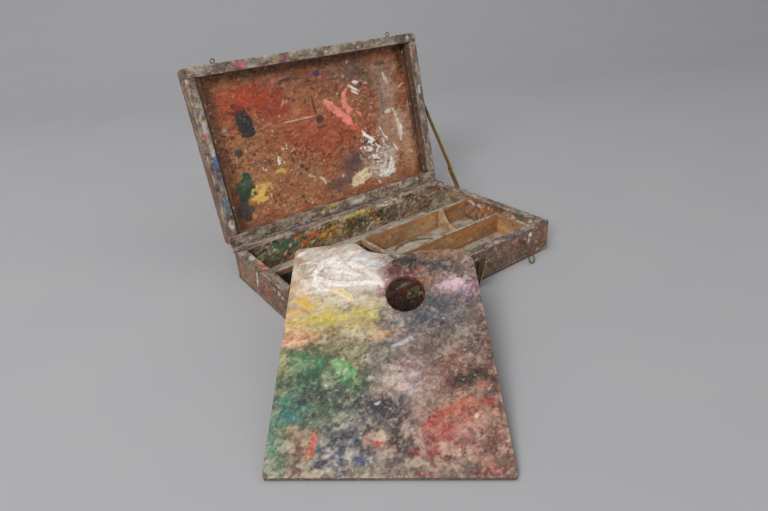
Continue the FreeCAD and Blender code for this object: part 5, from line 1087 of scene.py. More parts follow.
def back_inner(c):      # x, z
    D, S = c.daub, c.stroke
    Z = lambda *a, **k: soft(c, *a, **k)        # noqa: E731
    c.cov[:] = np.maximum(c.cov, .7)
    Z(-60, 16, 110, 14, (112, 100, 76), .8, h=.1, seed=3)
    Z(-112, 30, 28, 8, (84, 110, 88), .9, h=.3, seed=4)
    Z(-140, 24, 22, 12, (122, 116, 96), .8, h=.2, seed=5)
    Z(-72, 27, 16, 8, (176, 116, 76), .8, h=.2, seed=6)
    Z(-30, 26, 28, 8, (150, 112, 60), .85, h=.25, seed=7)
    Z(0, 38, 34, 4, (196, 170, 92), .9, h=.3, seed=8)
    Z(30, 26, 46, 10, (84, 84, 64), .9, h=.25, seed=9)
    Z(64, 37, 24, 5, (196, 180, 154), .85, h=.3, seed=10)
    Z(100, 26, 30, 10, (110, 100, 84), .8, h=.2, seed=11)
    Z(140, 26, 26, 12, (140, 112, 88), .7, h=.15, seed=12)
    c.rgb, c.h = crust(c.P / np.array([1.7, 1, .8]), c.rgb, c.h, np.full(len(c.x), .75), 31, tip=(190, 176, 144), pit=(46, 42, 34), size=2.0)
    c.rgb = contrast(c.rgb, 1.15) * 1.12
    for a, b, rx, ry, col in ((-112, 30, 15, 5, (44, 108, 88)), (-96, 25, 8, 4, (52, 116, 90)), (-124, 34, 6, 3, (66, 120, 104)), (-88, 33, 7, 3, (206, 120, 66)), (-66, 30, 8, 4, (200, 96, 60)),
                              (-78, 22, 5, 3, (190, 88, 58)), (-48, 24, 6, 5, (210, 150, 54)), (-34, 30, 6, 3, (206, 156, 66)), (-22, 22, 4, 3, (204, 150, 60)), (-40, 18, 4, 3, (192, 130, 54)),
                              (18, 39, 12, 3, (212, 180, 74)), (30, 36, 5, 3, (206, 176, 90)), (60, 38, 7, 3, (216, 206, 190)), (50, 30, 4, 3, (50, 54, 50)), (12, 26, 8, 4, (60, 66, 50)), (-4, 20, 6, 4, (70, 74, 54)),
                              (78, 30, 5, 3, (64, 60, 54)), (90, 34, 5, 3, (190, 176, 150)), (-140, 32, 5, 3, (70, 66, 60)), (-150, 20, 5, 4, (176, 164, 140)), (118, 30, 5, 3, (84, 74, 62))):
        D(a, b, rx, ry, col, h=.4, ragged=.9, seed=int(abs(a) + b) % 19 + 1)
    confetti(c, 0, 26, 165, 13, 90, [(50, 46, 38), (200, 176, 130), (96, 120, 84), (176, 110, 66), (206, 190, 160)], (.8, 2.6), .25, 11)
    rs = np.random.RandomState(83)
    for k in range(70):
        a, b = rs.uniform(-160, 160), rs.uniform(8, 40)
        t = (a + 160) / 320
        cols = [(28, 92, 68), (206, 192, 150), (44, 52, 40), (196, 96, 52)] if t < .35 else [(214, 166, 44), (60, 66, 44), (200, 188, 150), (190, 104, 48)] if t < .65 else [(52, 58, 44), (84, 92, 64), (206, 196, 168), (110, 96, 70)]
        c.daub(a, b, rs.uniform(1.4, 5.0), rs.uniform(1.0, 2.6), cols[rs.randint(len(cols))], rot=rs.uniform(-30, 50), h=.4, ragged=.8, seed=k % 19 + 2, cover=.9)
    c.rgb = contrast(c.rgb, 1.28)


def front_outer(c):     # x, z
    D, S = c.daub, c.stroke
    Z = lambda *a, **k: soft(c, *a, **k)        # noqa: E731
    c.cov[:] = np.maximum(c.cov, .55)
    Z(80, 24, 60, 14, (118, 90, 76), .7, h=.1, seed=3)
    Z(120, 30, 30, 10, (124, 92, 82), .6, h=.1, seed=4)
    Z(100, 12, 50, 8, (104, 80, 70), .7, h=.1, seed=5)
    Z(160, 26, 16, 16, (128, 92, 66), .7, h=.1, seed=6)
    Z(-110, 20, 50, 16, (124, 84, 68), .6, h=.1, seed=7)
    Z(-20, 26, 50, 12, (132, 108, 94), .6, h=.1, seed=8)
    # dark maroon films behind the leaning palette: the wall's maroon paint, darkened as painted shade of the palette
    Z(-60, 20, 34, 22, (72, 38, 34), .85, h=.1, seed=9)
    Z(-4, 20, 40, 22, (74, 40, 36), .85, h=.1, seed=10)
    c.rgb, c.h = crust(c.P, c.rgb, c.h, .55 * np.ones(len(c.x)), 41, tip=(176, 150, 134), pit=(62, 46, 42), size=2.8)
    for a, b, rx, ry, col in ((138, 33, 4, 3, WHITE), (136, 25, 2.4, 3.6, (206, 196, 190)), (128, 30, 3, 2, (196, 184, 178)), (155, 6, 4, 2, (198, 160, 148)), (168, 30, 4, 6, (170, 120, 66)),
                              (110, 34, 6, 2.6, (176, 120, 128)), (96, 30, 6, 2, (150, 90, 88)), (84, 14, 5, 3, (88, 58, 52)), (116, 10, 7, 3, (92, 74, 66)), (150, 18, 4, 3, (150, 72, 56)),
                              (-30, 34, 5, 2, (188, 172, 150)), (-90, 14, 4, 3, (160, 66, 52)), (-140, 30, 6, 3, (176, 150, 124)), (20, 18, 4, 2, (92, 104, 110)), (-60, 26, 6, 3, (150, 130, 112)),
                              (-10, 12, 6, 3, (96, 66, 56)), (40, 33, 4, 2, (196, 180, 160)), (-120, 20, 5, 3, (84, 60, 52))):
        D(a, b, rx, ry, col, h=.35, ragged=.8, seed=int(abs(a) + b) % 19 + 1)
    confetti(c, 0, 22, 172, 19, 110, [(70, 50, 44), (172, 152, 136), (140, 72, 60), (96, 86, 92), (190, 170, 150)], (.8, 2.6), .2, 12, .8, 1.3)
    # darker maroon touches where the thumb hole looks onto the wall: maroon paint darkened as painted shade of the
    # palette
    for a, b, rx, ry, col in ((-66, 36, 26, 9, (104, 44, 38)), (-66, 12, 28, 12, (46, 28, 26)), (-88, 26, 9, 10, (92, 40, 36)), (-50, 26, 12, 6, (120, 60, 46))):
        Z(a, b, rx, ry, col, .8, h=.05, seed=int(abs(a) + b) % 19 + 1)
    c.rgb = contrast(c.rgb, 1.2) * np.array([1.0, .94, .86])


def left_outer(c):      # y, z
    D, S = c.daub, c.stroke
    Z = lambda *a, **k: soft(c, *a, **k)        # noqa: E731
    c.cov[:] = np.maximum(c.cov, .5)
    Z(60, 22, 40, 16, (150, 104, 74), .7, h=.08, seed=3)
    Z(10, 22, 40, 16, (126, 84, 66), .7, h=.08, seed=4)
    Z(-50, 20, 50, 16, (118, 78, 66), .7, h=.08, seed=5)
    Z(84, 24, 14, 18, (140, 104, 76), .7, h=.08, seed=6)
    c.rgb, c.h = crust(c.P, c.rgb, c.h, .45 * np.ones(len(c.x)), 43, tip=(184, 156, 130), pit=(66, 46, 38), size=2.8)
    for a, b, rx, ry, col in ((15, 20, 7, 4, (164, 62, 48)), (20, 24, 3, 2.4, (206, 110, 60)), (28, 30, 5, 3, (170, 80, 56)), (55, 34, 7, 4, (112, 122, 104)), (50, 20, 5, 4, (104, 82, 104)),
                              (-16, 33, 4, 2.4, (206, 190, 168)), (-24, 31, 3, 2, (200, 180, 156)), (-4, 34, 3, 2, (196, 180, 160)), (70, 30, 5, 4, (92, 116, 84)), (-60, 26, 6, 3, (150, 70, 56)),
                              (36, 12, 6, 3, (96, 62, 52)), (84, 14, 5, 3, (96, 70, 54)), (-84, 20, 5, 4, (160, 140, 120))):
        D(a, b, rx, ry, col, h=.35, ragged=.8, seed=int(abs(a) + b) % 19 + 1)
    S([(42, 36), (44, 27), (47, 14)], 4.2, (214, 206, 196), h=.5, ragged=.6, seed=6)
    confetti(c, 0, 22, 98, 18, 60, [(70, 50, 44), (180, 156, 130), (140, 72, 56)], (.8, 2.4), .2, 13, .8, 1.3)
    c.rgb = contrast(c.rgb, 1.15) * np.array([.90, .86, .82])


def right_outer(c):
    Z = lambda *a, **k: soft(c, *a, **k)        # noqa: E731
    c.cov[:] = np.maximum(c.cov, .5)
    Z(20, 22, 60, 16, (128, 92, 74), .7, h=.08, seed=13)
    Z(-60, 20, 40, 16, (112, 84, 76), .7, h=.08, seed=14)
    c.rgb, c.h = crust(c.P, c.rgb, c.h, .45 * np.ones(len(c.x)), 47, tip=(184, 156, 130), pit=(66, 46, 38), size=2.8)
    confetti(c, 0, 22, 98, 18, 70, [(70, 50, 44), (180, 156, 130), (140, 72, 56), (96, 110, 100), (196, 150, 84)], (.8, 3.2), .25, 14, .8, 1.3)


def floor_paint(c):     # x, y, bottom board seen inside
    inside = smooth(-163, -161, c.x) * smooth(163, 161, c.x)
    f = fbm2(c.x / 14, c.y / 14, 5, 4)
    tone = lin((176, 166, 150)) * (1 - smooth(.4, .7, f))[:, None] + lin((140, 124, 106)) * smooth(.4, .7, f)[:, None]
    c.rgb[:] = tone
    c.cov[:] = .95 * inside + c.cov * (1 - inside)
    c.h[:] *= .1
    # a curved band of painted shadow on the floor of the middle compartment, with a paler band drawn just inside it
    c.stroke([(16, 20), (28, 27), (44, 29.5), (60, 26), (74, 17), (82, 4)], 7, (78, 58, 44), cover=.9, h=.05, ragged=.35, streak=.2, seed=5)
    c.stroke([(20, 15), (34, 21), (50, 22), (64, 17), (72, 8)], 3, (196, 184, 160), cover=.8, h=.1, ragged=.3, streak=.2, seed=6)
    confetti(c, 40, 0, 120, 95, 60, [(120, 104, 88), (96, 80, 66), (190, 186, 178)], (1.0, 3.6), .05, 17, .6, 1.4)
    confetti(c, 0, 70, 160, 26, 110, [(110, 96, 78), (160, 150, 132), (92, 84, 66), (150, 110, 80)], (1.0, 4.0), .08, 18, .8, 1.3)


def right_inner(c):     # y, z
    Z = lambda *a, **k: soft(c, *a, **k)        # noqa: E731
    c.cov[:] = np.maximum(c.cov, .5)
    Z(0, 22, 100, 16, (156, 108, 74), .7, h=.1, seed=3)
    Z(60, 26, 26, 14, (150, 116, 92), .7, h=.15, seed=5)
    c.rgb, c.h = crust(c.P, c.rgb, c.h, .5 * np.ones(len(c.x)), 49, tip=(196, 164, 130), pit=(80, 56, 40), size=3.0)
    for a, b, rx, ry, col in ((-74, 30, 9, 5, (60, 116, 104)), (-60, 34, 6, 3, (70, 120, 106)), (-40, 26, 6, 4, (190, 100, 52)), (0, 28, 6, 4, (196, 110, 56)), (20, 32, 6, 4, (206, 176, 160)), (50, 30, 6, 4, (184, 150, 140))):
        c.daub(a, b, rx, ry, col, h=.35, ragged=.8, seed=int(abs(a) + b) % 19 + 1)
    confetti(c, 0, 24, 98, 15, 50, [(206, 190, 168), (96, 72, 56), (176, 96, 56)], (.8, 2.6), .25, 19)
    for a, b, rx, ry, col in ((-84, 30, 8, 5, (34, 98, 96)), (-72, 33, 6, 4, (44, 112, 104)), (-92, 36, 6, 3, (206, 194, 170)), (-60, 34, 5, 3, (204, 186, 158)), (-66, 26, 8, 4, (64, 88, 72)),
                              (-40, 30, 6, 3, (196, 172, 150)), (-20, 28, 7, 4, (150, 92, 84)), (4, 32, 6, 3, (206, 176, 170)), (24, 30, 8, 4, (112, 92, 74)), (60, 30, 9, 5, (150, 138, 112))):
        c.daub(a, b, rx, ry, col, h=.35, ragged=.8, seed=int(abs(a) + b) % 19 + 1)
    c.rgb = contrast(c.rgb, 1.2)


def div_face(c):
    Z = lambda *a, **k: soft(c, *a, **k)        # noqa: E731
    x0, x1 = c.x.min(), c.x.max()
    c.cov[:] *= .45
    c.h[:] *= .5
    n = int((x1 - x0) / 26) + 1
    rs = np.random.RandomState(n)
    for k in range(n):
        Z(x0 + (x1 - x0) * rs.rand(), 12 + 18 * rs.rand(), 12 + 12 * rs.rand(), 5 + 5 * rs.rand(),
          [(176, 124, 74), (150, 112, 80), (196, 150, 92), (130, 100, 76), (170, 146, 112)][rs.randint(5)], .6, h=.05, seed=k + 2)
    c.rgb, c.h = crust(c.P, c.rgb, c.h, .4 * np.ones(len(c.x)), 51, tip=(216, 180, 132), pit=(84, 58, 40), size=2.6)
    c.rgb = c.rgb * 1.15
    confetti(c, (x0 + x1) / 2, 19, (x1 - x0) / 2, 15, int((x1 - x0) * .16), [(120, 84, 56), (206, 170, 96), (96, 70, 52), (196, 182, 158)], (.8, 2.6), .15, 20, .7, 1.3)


def div_top(c):
    c.cov = np.maximum(c.cov, .8)
    f = fbm2(c.x / 12, c.y / 12, 33, 3)
    w = smooth(.4, .62, f)[:, None]
    c.rgb[:] = lin((180, 170, 150)) * (1 - w) + lin((140, 120, 98)) * w
    c.rgb, c.h = crust(c.P, c.rgb, c.h, .35 * np.ones(len(c.x)), 53, tip=(206, 198, 184), pit=(92, 74, 58), size=2.4)


# ------------------------------------------------------------------ the base
# each painter: the face, the two axes of its plane, what lies on it
CB = [((-1, -1), 3.0), ((1, -1), 3.0)]
CK = [((-1, 1), 3.0), ((1, 1), 3.0)]
board("front_wall", (-175, -110.5, 5), (175, -98, 42), "base", "base_front_wall", M_base, "base_wood", 1, big=CB, light=.86, limits=(("+z", .10), ("-y", .30), ("+x", .2)),
      painters=[("-y", (0, 2), front_outer), ("+z", (0, 1), rim_paint(81)), ("+y", (0, 2), div_face)])
board("back_wall", (-175, 98, 5), (175, 110.5, 42), "base", "base_back_wall", M_base, "base_wood", 2, big=CK, limits=(("+z", .10), ("+x", .2)),
      painters=[("-y", (0, 2), back_inner), ("+z", (0, 1), rim_paint(82))])
board("left_wall", (-175, -98, 5), (-162.5, 98, 42), "base", "base_left_wall", M_base, "base_wood", 3, grain=1, r=0.8, limits=(("+z", .10),), light=.92,
      painters=[("-x", (1, 2), left_outer), ("+z", (0, 1), rim_paint(83, along=1, marks=(
          (-168, 44, 3, 7, (176, 72, 62)), (-167, 34, 3, 5, (196, 120, 112)), (-170, 52, 2.4, 5, (186, 96, 84)), (-167, 70, 4, 8, (196, 188, 176)), (-169, -20, 3, 8, (150, 142, 134)))))])
board("right_wall", (162.5, -98, 5), (175, 98, 42), "base", "base_right_wall", M_base, "base_wood", 4, grain=1, r=0.8, limits=(("+z", .10), ("+x", .2)),
      painters=[("-x", (1, 2), right_inner), ("+z", (0, 1), rim_paint(84, along=1, marks=((169, -60, 4, 6, (84, 116, 104)), (168, 20, 3, 6, (196, 180, 160))))), ("+x", (1, 2), right_outer)])
board("bottom_board", (-175, -110.5, 0), (175, 110.5, 5), "base", "base_bottom_board", M_base, "base_wood", 5, step=2.4, r=0.9, relief=.4, flecks=.3,
      painters=[("+z", (0, 1), floor_paint)])
DV = dict(relief=.6, kind="inside", flecks=.4)
board("divider_long", (-162.5, 33, 5), (162.5, 38, 33), "base", "long_divider", M_div, "divider_wood", 6, step=1.8, r=0.6, **DV,
      painters=[("-y", (0, 2), div_face), ("+y", (0, 2), div_face), ("+z", (0, 1), div_top)])
board("divider_cross", (-29, -98, 5), (-24, 33, 33), "base", "cross_divider", M_div, "divider_wood", 7, step=1.8, r=0.6, grain=1, **DV,
      painters=[("-x", (1, 2), div_face), ("+x", (1, 2), div_face), ("+z", (0, 1), div_top)])
board("divider_short", (-24, -35.5, 5), (162.5, -30.5, 33), "base", "short_divider", M_div, "divider_wood", 8, step=1.8, r=0.6, **DV,
      painters=[("-y", (0, 2), div_face), ("+y", (0, 2), div_face), ("+z", (0, 1), div_top)])
board("end_board", (157, -98, 5), (162.5, -35.5, 33), "base", "front_end_board", M_div, "divider_wood", 9, step=1.8, r=0.6, grain=1, **DV,
      painters=[("-x", (1, 2), div_face), ("+z", (0, 1), div_top)])

# ------------------------------------------------------------------ the lid, in closed coordinates; on its rails y = 113.3 - s
LF = [((-1, -1), 6.0), ((1, -1), 6.0)]
LB = [((-1, 1), 3.0), ((1, 1), 3.0)]
board("lid_panel", (-175, -110.5, 60.3), (175, 110.5, 65.3), "lid", "lid_board", M_lid, "lid_wood", 10, step=1.35, r=0.9, lid=True, big=LF + LB,
      painters=[("-z", (0, 1), lid_coords(paint_lid)), ("+z", (0, 1), lid_outside)], cover=.7, kind="lid", flecks=.25)
board("lid_rail_front", (-175, -110.5, 42.3), (175, -98, 60.3), "lid", "lid_front_rail", M_base, "lid_wood", 11, lid=True, big=LF, limits=(("-z", .10),),
      painters=[("-z", (0, 1), rim_paint(91, marks=((-105, -105, 8, 4, (196, 88, 96)), (-100, -102, 4, 2, (214, 120, 130)), (-40, -105, 6, 3, (150, 72, 84)), (-56, -103, 5, 3, (176, 132, 88)),
                                                    (20, -104, 3, 2, (214, 200, 170)), (160, -105, 4, 3, (206, 190, 170)), (-130, -104, 12, 5, (92, 82, 78)), (60, -106, 8, 3, (96, 110, 84))))), ("+y", (0, 2), div_face)])
board("lid_rail_back", (-175, 98, 42.3), (175, 110.5, 60.3), "lid", "lid_back_rail", M_base, "lid_wood", 12, lid=True, big=LB, limits=(("-z", .10),),
      painters=[("-z", (0, 1), rim_paint(92, marks=((22, 106, 12, 3.4, (216, 206, 194)), (34, 104, 6, 3, (206, 196, 184)), (-20, 100, 9, 3, (196, 168, 80)), (-36, 105, 3.4, 3, (216, 188, 140)), (-100, 103, 10, 4, (120, 128, 108)),
                                                    (-130, 104, 8, 4, (150, 150, 130)), (80, 103, 14, 4, (124, 82, 76)), (120, 104, 10, 4, (176, 164, 148)), (104, 101, 3, 3, (206, 198, 186)))))])
board("lid_rail_left", (-175, -98, 42.3), (-162.5, 98, 60.3), "lid", "lid_left_rail", M_base, "lid_wood", 13, grain=1, r=.8, lid=True, limits=(("-z", .10),),
      painters=[("-z", (0, 1), rim_paint(93, along=1, marks=((-166, 3, 2.6, 7, (62, 100, 186)), (-166, 13, 2.4, 4, (44, 50, 110)), (-166, -10, 3, 9, (196, 190, 182)), (-168, -40, 3, 10, (190, 182, 172)), (-170, -60, 3, 5, (84, 92, 120)),
                                                             (-167, 62, 3, 8, (60, 116, 122)), (-168, 52, 3, 5, (70, 110, 150)), (-167, 36, 3, 5, (150, 142, 136)), (-168, 84, 4, 6, (206, 200, 190)), (-168, 96, 4, 4, (180, 72, 88)),
                                                             (-170, -30, 2.6, 6, (190, 96, 80)), (-166, 20, 3, 4, (66, 70, 84)))))])
board("lid_rail_right", (162.5, -98, 42.3), (175, 98, 60.3), "lid", "lid_right_rail", M_base, "lid_wood", 14, grain=1, r=.8, lid=True, limits=(("-z", .10), ("+x", .2)),
      painters=[("-z", (0, 1), rim_paint(94, along=1, marks=((168, -30, 3, 8, (206, 200, 192)), (170, -60, 3, 10, (176, 160, 152)), (168, 4, 2.4, 6, (110, 130, 150)), (170, 50, 3, 9, (140, 132, 130)), (169, -84, 3, 5, (150, 78, 66)))))])

for k, (a, b) in enumerate(((-175, -127.2), (-96.8, 96.8), (127.2, 175))):
    board("back_bead_base_%d" % k, (a, 110.2, 35.0), (b, 113.1, 41.85), "base", "base_back_wall", M_base, "base_wood", 21 + k, step=1.6, r=.7, relief=.5, limits=(("+z", .1), ("+y", .1)),
          painters=[("+z", (0, 1), rim_paint(85 + k))])
    board("back_bead_lid_%d" % k, (a, 110.2, 42.32), (b, 113.0, 48.0), "lid", "lid_back_rail", M_base, "lid_wood", 31 + k, step=1.6, r=.7, relief=.5, lid=True, limits=(("-z", .1), ("+y", .1)),
          painters=[("-z", (0, 1), rim_paint(95 + k))])
    board("back_seam_%d" % k, (a + .5, 113.05, 41.9), (b - .5, 113.55, 42.4), "base", "base_back_wall", M_base, "base_wood", 41 + k, step=4.0, r=.1, relief=0, warp=0, light=.5)

# ------------------------------------------------------------------ the palette
turn, lean = math.radians(-39.66), math.radians(15.45)
po = np.array([-218.2, -273.6, 0.0])
pex = np.array([math.cos(turn), math.sin(turn), 0.0])
pup = np.array([-math.sin(turn) * math.cos(lean), math.cos(turn) * math.cos(lean), math.sin(lean)])
pn = unit(np.cross(pex, pup))


def arc3(a, m, b, n=26):
    """Points along the circle through a, m and b."""
    a, m, b = (np.array(p, float) for p in (a, m, b))
    d = 2 * (a[0] * (m[1] - b[1]) + m[0] * (b[1] - a[1]) + b[0] * (a[1] - m[1]))
    ux = ((a @ a) * (m[1] - b[1]) + (m @ m) * (b[1] - a[1]) + (b @ b) * (a[1] - m[1])) / d
    uy = ((a @ a) * (b[0] - m[0]) + (m @ m) * (a[0] - b[0]) + (b @ b) * (m[0] - a[0])) / d
    c = np.array([ux, uy])
    t0, tm, t1 = (math.atan2(p[1] - uy, p[0] - ux) for p in (a, m, b))

    def between(t):
        return (t - t0) % (2 * math.pi)
    span = between(t1)
    if between(tm) > span:
        span -= 2 * math.pi
    r = np.linalg.norm(a - c)
    return [c + r * np.array([math.cos(t0 + span * k / n), math.sin(t0 + span * k / n)]) for k in range(n)]


outline = []
outline += arc3((-99.2, 3), (-98.32, 0.88), (-96.2, 0), 6)
outline += arc3((96.2, 0), (98.32, 0.88), (99.2, 3), 6)
outline += arc3((86.1, 232.5), (78.8, 248.8), (61.2, 255.5), 20)
outline += arc3((28.2, 254.8), (-1.6, 250.6), (-29.9, 257.0), 30)
outline += [np.array([-29.9, 257.0])]
outline += arc3((-39.3, 266.7), (-44.4, 270.5), (-51.4, 271.2), 8)
outline += arc3((-106.8, 264.0), (-110.4, 261.5), (-111.6, 257.9), 8)
outline = np.array(outline)


def dense(poly, step=0.6):
    pts = []
    for k in range(len(poly)):
        a, b = poly[k], poly[(k + 1) % len(poly)]
        n = max(1, int(np.linalg.norm(b - a) / step))
        pts += [a + (b - a) * j / n for j in range(n)]
    return np.array(pts)


line = dense(outline)
tan = np.roll(line, -1, 0) - np.roll(line, 1, 0)
tan /= np.maximum(np.linalg.norm(tan, axis=1), 1e-9)[:, None]
area2 = np.sum(line[:, 0] * np.roll(line[:, 1], -1) - np.roll(line[:, 0], -1) * line[:, 1])
nrm = np.stack([tan[:, 1], -tan[:, 0]], 1) * (1 if area2 > 0 else -1)
tt = np.linspace(0, 2 * math.pi, 241)[:-1]
hole = np.stack([12.7 + 19.8 * np.cos(tt), 191.7 + 24.5 * np.sin(tt)], 1)
hn = -np.stack([np.cos(tt) / 19.8, np.sin(tt) / 24.5], 1)
hn /= np.linalg.norm(hn, axis=1)[:, None]
LP, LN = np.vstack([line, hole]), np.vstack([nrm, hn])


def sdf(P):
    out, near, nor = np.empty(len(P)), np.empty((len(P), 2)), np.empty((len(P), 2))
    for s in range(0, len(P), 4000):
        q = P[s:s + 4000]
        d = ((q[:, None, :] - LP[None]) ** 2).sum(2)
        k = d.argmin(1)
        v = q - LP[k]
        out[s:s + 4000] = (v * LN[k]).sum(1)
        near[s:s + 4000], nor[s:s + 4000] = LP[k], LN[k]
    return out, near, nor


R = 1.1
STEP = 1.12
gx = np.arange(-112.5, 100.5, STEP)
gy = np.arange(-1.5, 275, STEP)
GX, GY = np.meshgrid(gx, gy, indexing="ij")
P2 = np.stack([GX.ravel(), GY.ravel()], 1)
sd, near, nor = sdf(P2)
ok = (sd < -R - 0.30 * STEP).reshape(GX.shape)
full = ok[:-1, :-1] & ok[1:, :-1] & ok[1:, 1:] & ok[:-1, 1:]
# a cell that only touches others at a corner is dropped
pad = np.pad(full, 1)
full &= (pad[:-2, 1:-1].astype(int) + pad[2:, 1:-1] + pad[1:-1, :-2] + pad[1:-1, 2:]) >= 2
cells = np.argwhere(full)
ny = len(gy)
vid = -np.ones(GX.size, int)
corner = np.stack([cells[:, 0] * ny + cells[:, 1], (cells[:, 0] + 1) * ny + cells[:, 1], (cells[:, 0] + 1) * ny + cells[:, 1] + 1, cells[:, 0] * ny + cells[:, 1] + 1], 1)
used = np.unique(corner)
vid[used] = np.arange(len(used))
quads = vid[corner]
top2 = P2[used].copy()
e = np.vstack([quads[:, [0, 1]], quads[:, [1, 2]], quads[:, [2, 3]], quads[:, [3, 0]]])
key = set(map(tuple, e.tolist()))
rim_e = np.array([p for p in key if (p[1], p[0]) not in key])
rim_v = np.unique(rim_e)
# the outermost ring of points is drawn onto the line R inside the outline
rsd, rnear, rnor = sdf(top2[rim_v])
top2[rim_v] = rnear - rnor * R
ridx = -np.ones(len(top2), int)
ridx[rim_v] = np.arange(len(rim_v))
nt_, nr = len(top2), len(rim_v)
prof = [(R * math.sin(t), R * (1 - math.cos(t))) for t in (math.pi / 6, math.pi / 3, math.pi / 2)]
levels = [(o_, 5.0 - d_) for o_, d_ in prof] + [(R, 3.2), (R, 1.8)] + [(o_, d_) for o_, d_ in reversed(prof)]
loc = [np.column_stack([top2, np.full(nt_, 5.0)])]
rnor3 = rnor
for o_, z_ in levels:
    loc.append(np.column_stack([rnear - rnor3 * (R - o_), np.full(nr, z_)]))
loc.append(np.column_stack([top2, np.zeros(nt_)]))
L3 = np.vstack(loc)
faces = [quads]
prev = lambda v: v                                   # noqa: E731
rings = [rim_e]
for k in range(len(levels)):
    rings.append(nt_ + k * nr + ridx[rim_e])
last = nt_ + len(levels) * nr
rings.append(last + rim_e)
for a_, b_ in zip(rings[:-1], rings[1:]):
    faces.append(np.column_stack([a_[:, 1], a_[:, 0], b_[:, 0], b_[:, 1]]))
faces.append(last + quads[:, ::-1])
F = np.vstack(faces)
ntop = nt_ + 3 * nr
paint_rgb, paint_cov, paint_h = grime(L3, 33, .7, "palette", flecks=.3)
paint_h[:] *= .3
ta = math.radians(2.2)
cp = Coat(.24 + L3[:ntop, 0] * math.cos(ta) + L3[:ntop, 1] * math.sin(ta), 1.76 - L3[:ntop, 0] * math.sin(ta) + L3[:ntop, 1] * math.cos(ta))
cp.P = L3[:ntop].copy()
cp.rgb, cp.cov, cp.h = paint_rgb[:ntop].copy(), paint_cov[:ntop].copy() * .5, paint_h[:ntop].copy()
paint_palette(cp)
paint_rgb[:ntop], paint_cov[:ntop], paint_h[:ntop] = cp.rgb, cp.cov, cp.h
side_ = np.zeros(len(L3), bool)
side_[nt_ + nr:last] = True
paint_rgb[side_] = paint_rgb[side_] * .25 + lin((92, 66, 56)) * .75
paint_cov[side_] = .85
bore_ = side_ & (np.hypot((L3[:, 0] - 12.7) / 19.8, (L3[:, 1] - 191.7) / 24.5) < 1.06)
paint_rgb[bore_] = paint_rgb[bore_] * .15 + lin((124, 62, 54)) * .85
paint_cov[last:] *= .35
paint_h[last:] = 0
dz = np.zeros(len(L3))
lumps = fbm2(L3[:, 0] / 7.0, L3[:, 1] / 7.0, 3, 4) - 0.5
fineb = fbm2(L3[:, 0] / 2.2, L3[:, 1] / 2.2, 9, 2) - 0.5
fade = np.ones(len(L3))
fade[:nt_] = 0.25 + 0.75 * smooth(0.0, 4.0, -sdf(top2)[0] - R)
dz[:nt_] = np.clip(paint_h[:nt_] * 1.0 + 0.9 * lumps[:nt_] * smooth(0.1, .8, paint_h[:nt_]) + 0.30 * fineb[:nt_], -0.15, 2.6) * fade[:nt_]
dz[nt_:ntop] = np.clip(np.repeat([0.2, 0.1, 0.0], nr) * 1.0, 0, 1)
L3[:, 2] += dz
W = po + L3[:, :1] * pex + L3[:, 1:2] * pup + L3[:, 2:] * pn
palette = make_object("palette", W, F, np.concatenate([paint_rgb, paint_cov[:, None]], 1), L3[:, [1, 0, 2]] + 400)
palette.data.materials.append(M_pal)
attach(palette, "palette")
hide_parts("palette_board")

# ------------------------------------------------------------------ materials on the hardware that the CAD already shapes
FINISH = {
    "brush_rest_divider": M_rest, "trough_scoop": M_scoop,
    "panel_runner_outer_left": M_runner, "panel_runner_inner_left": M_runner,
    "panel_runner_outer_right": M_runner, "panel_runner_inner_right": M_runner,
    "tin_liner": M_tin, "handle_end_tabs": M_leather, "handle_grip": M_leather,
    "handle_bail": M_brass_bright, "handle_plates": M_hinge, "handle_screws": M_brass,
    "hook_left": M_brass, "hook_right": M_brass, "hook_staples": M_brass, "lid_hook_eyes": M_brass,
    "hinge_base_leaves": M_hinge, "hinge_lid_leaves": M_hinge, "hinge_pins": M_hinge, "hinge_base_screws": M_brass, "hinge_lid_screws": M_brass,
    "stay_lower_link": M_stay, "stay_upper_link": M_stay, "stay_elbow_rivet": M_brass, "stay_lower_screw": M_brass, "stay_upper_screw": M_brass,
    "base_corner_nails": M_steel, "base_bottom_nails": M_steel, "lid_corner_nails": M_steel, "lid_board_nails": M_steel}
for name, mat in FINISH.items():
    o = nodes[name]
    o.data.materials.clear()
    o.data.materials.append(mat)

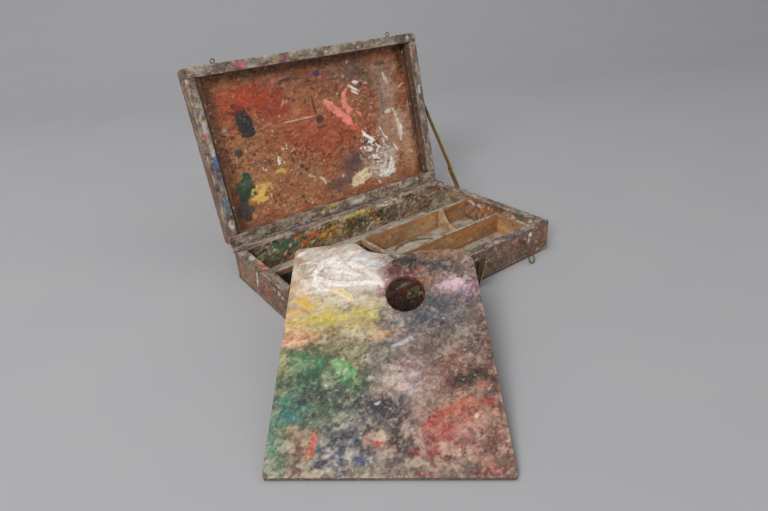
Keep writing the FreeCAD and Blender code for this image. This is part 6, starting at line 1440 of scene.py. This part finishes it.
# ------------------------------------------------------------------ floor, backdrop and light
prof2 = [(-4.0, 0.0), (1.2, 0.0)] + [(1.2 + 2.2 * math.sin(a), 2.2 - 2.2 * math.cos(a)) for a in np.linspace(0.04, math.pi / 2, 40)] + [(3.4, 4.5)]
sv, sf = [], []
cd = np.array([-math.sin(az), math.cos(az), 0.0])
cs = np.array([math.cos(az), math.sin(az), 0.0])
for k, (d_, z_) in enumerate(prof2):
    for s_ in (-6.0, 6.0):
        p = cd * d_ + cs * s_
        sv.append((p[0] * 1000, p[1] * 1000, z_ * 1000 - 0.15))
for k in range(len(prof2) - 1):
    sf.append((2 * k, 2 * k + 1, 2 * k + 3, 2 * k + 2))
floor = make_object("floor", np.array(sv), np.array(sf))
fm, fnt, fb = new_mat("floor_grey")
fc = coords(fnt, False)
fnt.links.new(ramp(fnt, noise(fnt, fc, 0.006, 2, 0.5), [(0.3, (170, 170, 172)), (0.7, (172, 172, 173))]), fb.inputs["Base Color"])
fb.inputs["Roughness"].default_value = 0.95
fb.inputs["Specular IOR Level"].default_value = 0.1
floor.data.materials.append(fm)


def area(name, loc, target, size, watts, colour=(1, 1, 1)):
    d = bpy.data.lights.new(name, "AREA")
    d.shape = "SQUARE"
    d.size = size
    d.energy = watts
    d.color = colour
    o = bpy.data.objects.new(name, d)
    bpy.context.scene.collection.objects.link(o)
    o.location = loc
    o.rotation_euler = (Vector(target) - Vector(loc)).to_track_quat("-Z", "Y").to_euler()
    return o


area("key", (-2.7, -1.65, 2.1), (0, 0, 0.08), 1.35, 84)
area("back_wash", (-1.2, 0.4, 3.4), (-0.5, 2.9, 1.0), 2.4, 50)
area("fill", (1.6, -2.4, 2.3), (0, 0, 0.1), 2.4, 13)
world = bpy.data.worlds.new("world")
world.use_nodes = True
world.node_tree.nodes["Background"].inputs[0].default_value = (0.97, 0.98, 1.0, 1)
world.node_tree.nodes["Background"].inputs[1].default_value = 0.35
bpy.context.scene.world = world
bpy.context.scene.view_settings.view_transform = "Standard"
